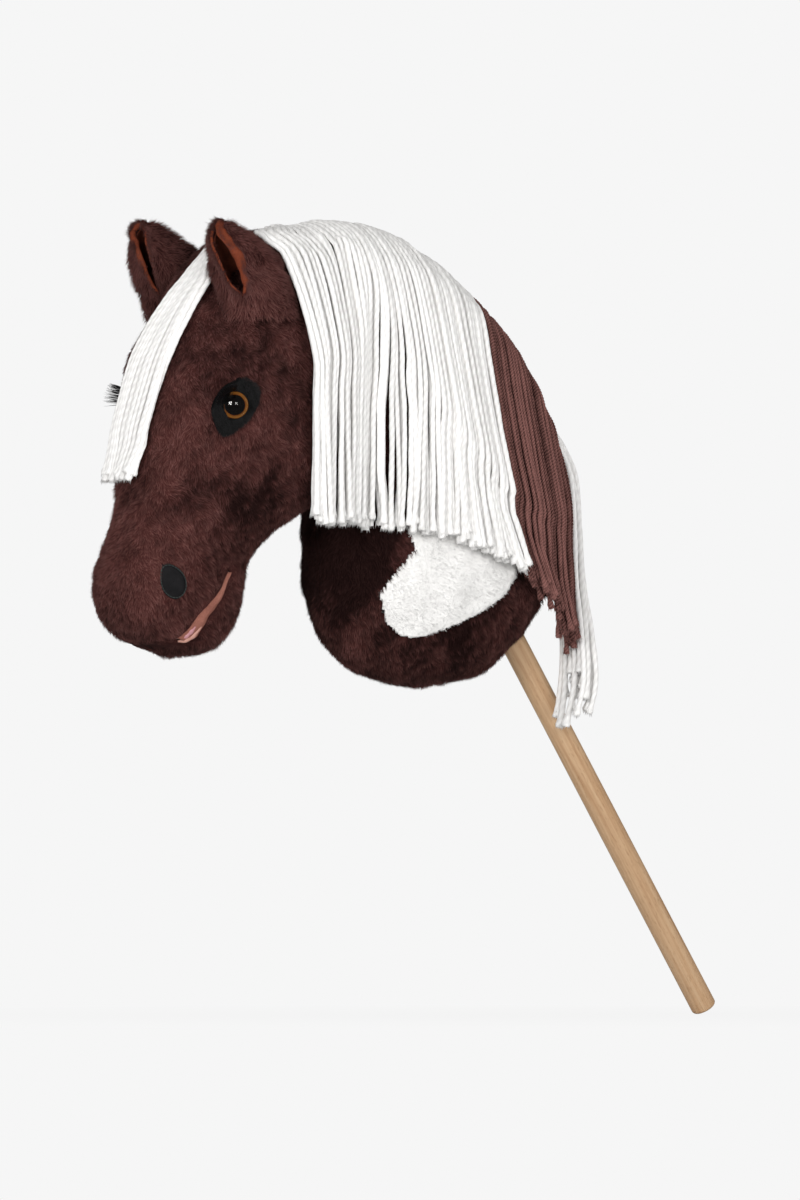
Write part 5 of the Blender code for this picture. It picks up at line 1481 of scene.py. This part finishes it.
BACK = 0.9215
CAMERA_AWAY, FRAME_HEIGHT, FILM = 30.0, 1.0356, 36.0
# The floor's own shade: as far as it is full, where it ends, and its share
SHADE_FULL, SHADE_END, SHADE_SHARE = 0.25, 0.9, 0.06
# The world's light on the object, and how much less of it reflections see
SKY, SKY_LESS = 0.50, 0.38


def stand(name, data, place, way):
    """A lamp or the camera at a place, looking against its way."""
    item = bpy.data.objects.new(name, data)
    scene.collection.objects.link(item)
    item.matrix_world = facing(place, way).T.tolist()
    return item


def make_floor():
    """A pale disc under the stick: it shows its own shade near the object, and the background's beyond."""
    q = np.arange(128) * TURN / 128
    r = np.linspace(0.01, 1, 24)[:, None] ** 2 * 6
    top = np.stack([r * np.cos(q), r * np.sin(q), np.full((24, 128), cad_box[0][2] - 0.0006)], -1)
    paper = Finish("floor_paper")
    paper.shader.inputs["Base Color"].default_value = (0.90, 0.90, 0.90, 1)
    paper.shader.inputs["Roughness"].default_value = 1.0
    glow = paper.add("Emission", Color=(BACK, BACK, BACK, 1), Strength=1.0)
    far = paper.add("VectorMath", {"operation": "LENGTH"}, i0=paper.here)["Value"]
    near = paper.add("MapRange", Value=far, i1=SHADE_FULL, i2=SHADE_END, i3=SHADE_SHARE, i4=0.0)[0]
    ray = paper.add("LightPath")
    seen = paper.maths("MAXIMUM", ray["Is Camera Ray"], ray["Is Transmission Ray"])
    share = paper.times(seen, paper.minus(1.0, near))
    mix = paper.add("MixShader", i0=share, i1=paper.shader.outputs[0], i2=glow[0])[0]
    paper.tree.links.new(mix, paper.tree.nodes["Material Output"].inputs["Surface"])
    floor = made("floor", sheet_between(top, top - (0, 0, 0.01), None, True), paper.material)
    floor.visible_glossy = False


# Lamps: name, place, aim, size, power
LAMPS = (
    ("key", (-2.50, -1.35, 0.80), (-0.20, 0.0, 0.15), (0.75, 0.95), 34.0),
    ("fill", (-1.45, -2.35, 0.66), (-0.15, 0.0, 0.15), (0.50, 0.72), 14.0),
    ("low", (0.55, -2.2, -0.05), (-0.10, 0.0, 0.10), (1.0, 0.8), 16.5),
)


def make_light():
    """Three soft lamps, the low one not mirrored, and a world dimmer to the object than to the camera."""
    world = bpy.data.worlds.new("studio")
    scene.world = world
    world.use_nodes = True
    sky = Nodes(world.node_tree)
    ray = sky.add("LightPath")
    strength = sky.add("MapRange", Value=ray["Is Camera Ray"], i3=SKY, i4=BACK)[0]
    strength = sky.minus(strength, sky.times(ray["Is Glossy Ray"], SKY_LESS))
    shade = sky.tree.nodes["Background"].inputs
    shade["Color"].default_value = (1, 1, 1, 1)
    sky.tree.links.new(strength, shade["Strength"])
    for name, place, aim, size, power in LAMPS:
        light = bpy.data.lights.new(name, "AREA")
        light.shape, light.energy = "RECTANGLE", power
        light.size, light.size_y = size
        stand(name, light, place, np.array(place) - np.array(aim)).visible_glossy = name != "low"


def make_camera():
    """Level and far off, 38 degrees round from square on the near side: almost no perspective."""
    ahead = np.array((0.616, 0.788, 0.0))
    target = np.array((-0.0976, 0.0763, 0.0863))
    lens = bpy.data.cameras.new("camera")
    lens.sensor_fit, lens.sensor_height = "VERTICAL", FILM
    lens.lens = FILM * CAMERA_AWAY / FRAME_HEIGHT
    lens.clip_end = 200.0
    scene.camera = stand("camera", lens, target - ahead * CAMERA_AWAY, -ahead)


make_floor()
make_light()
make_camera()
scene.view_settings.view_transform = "Standard"
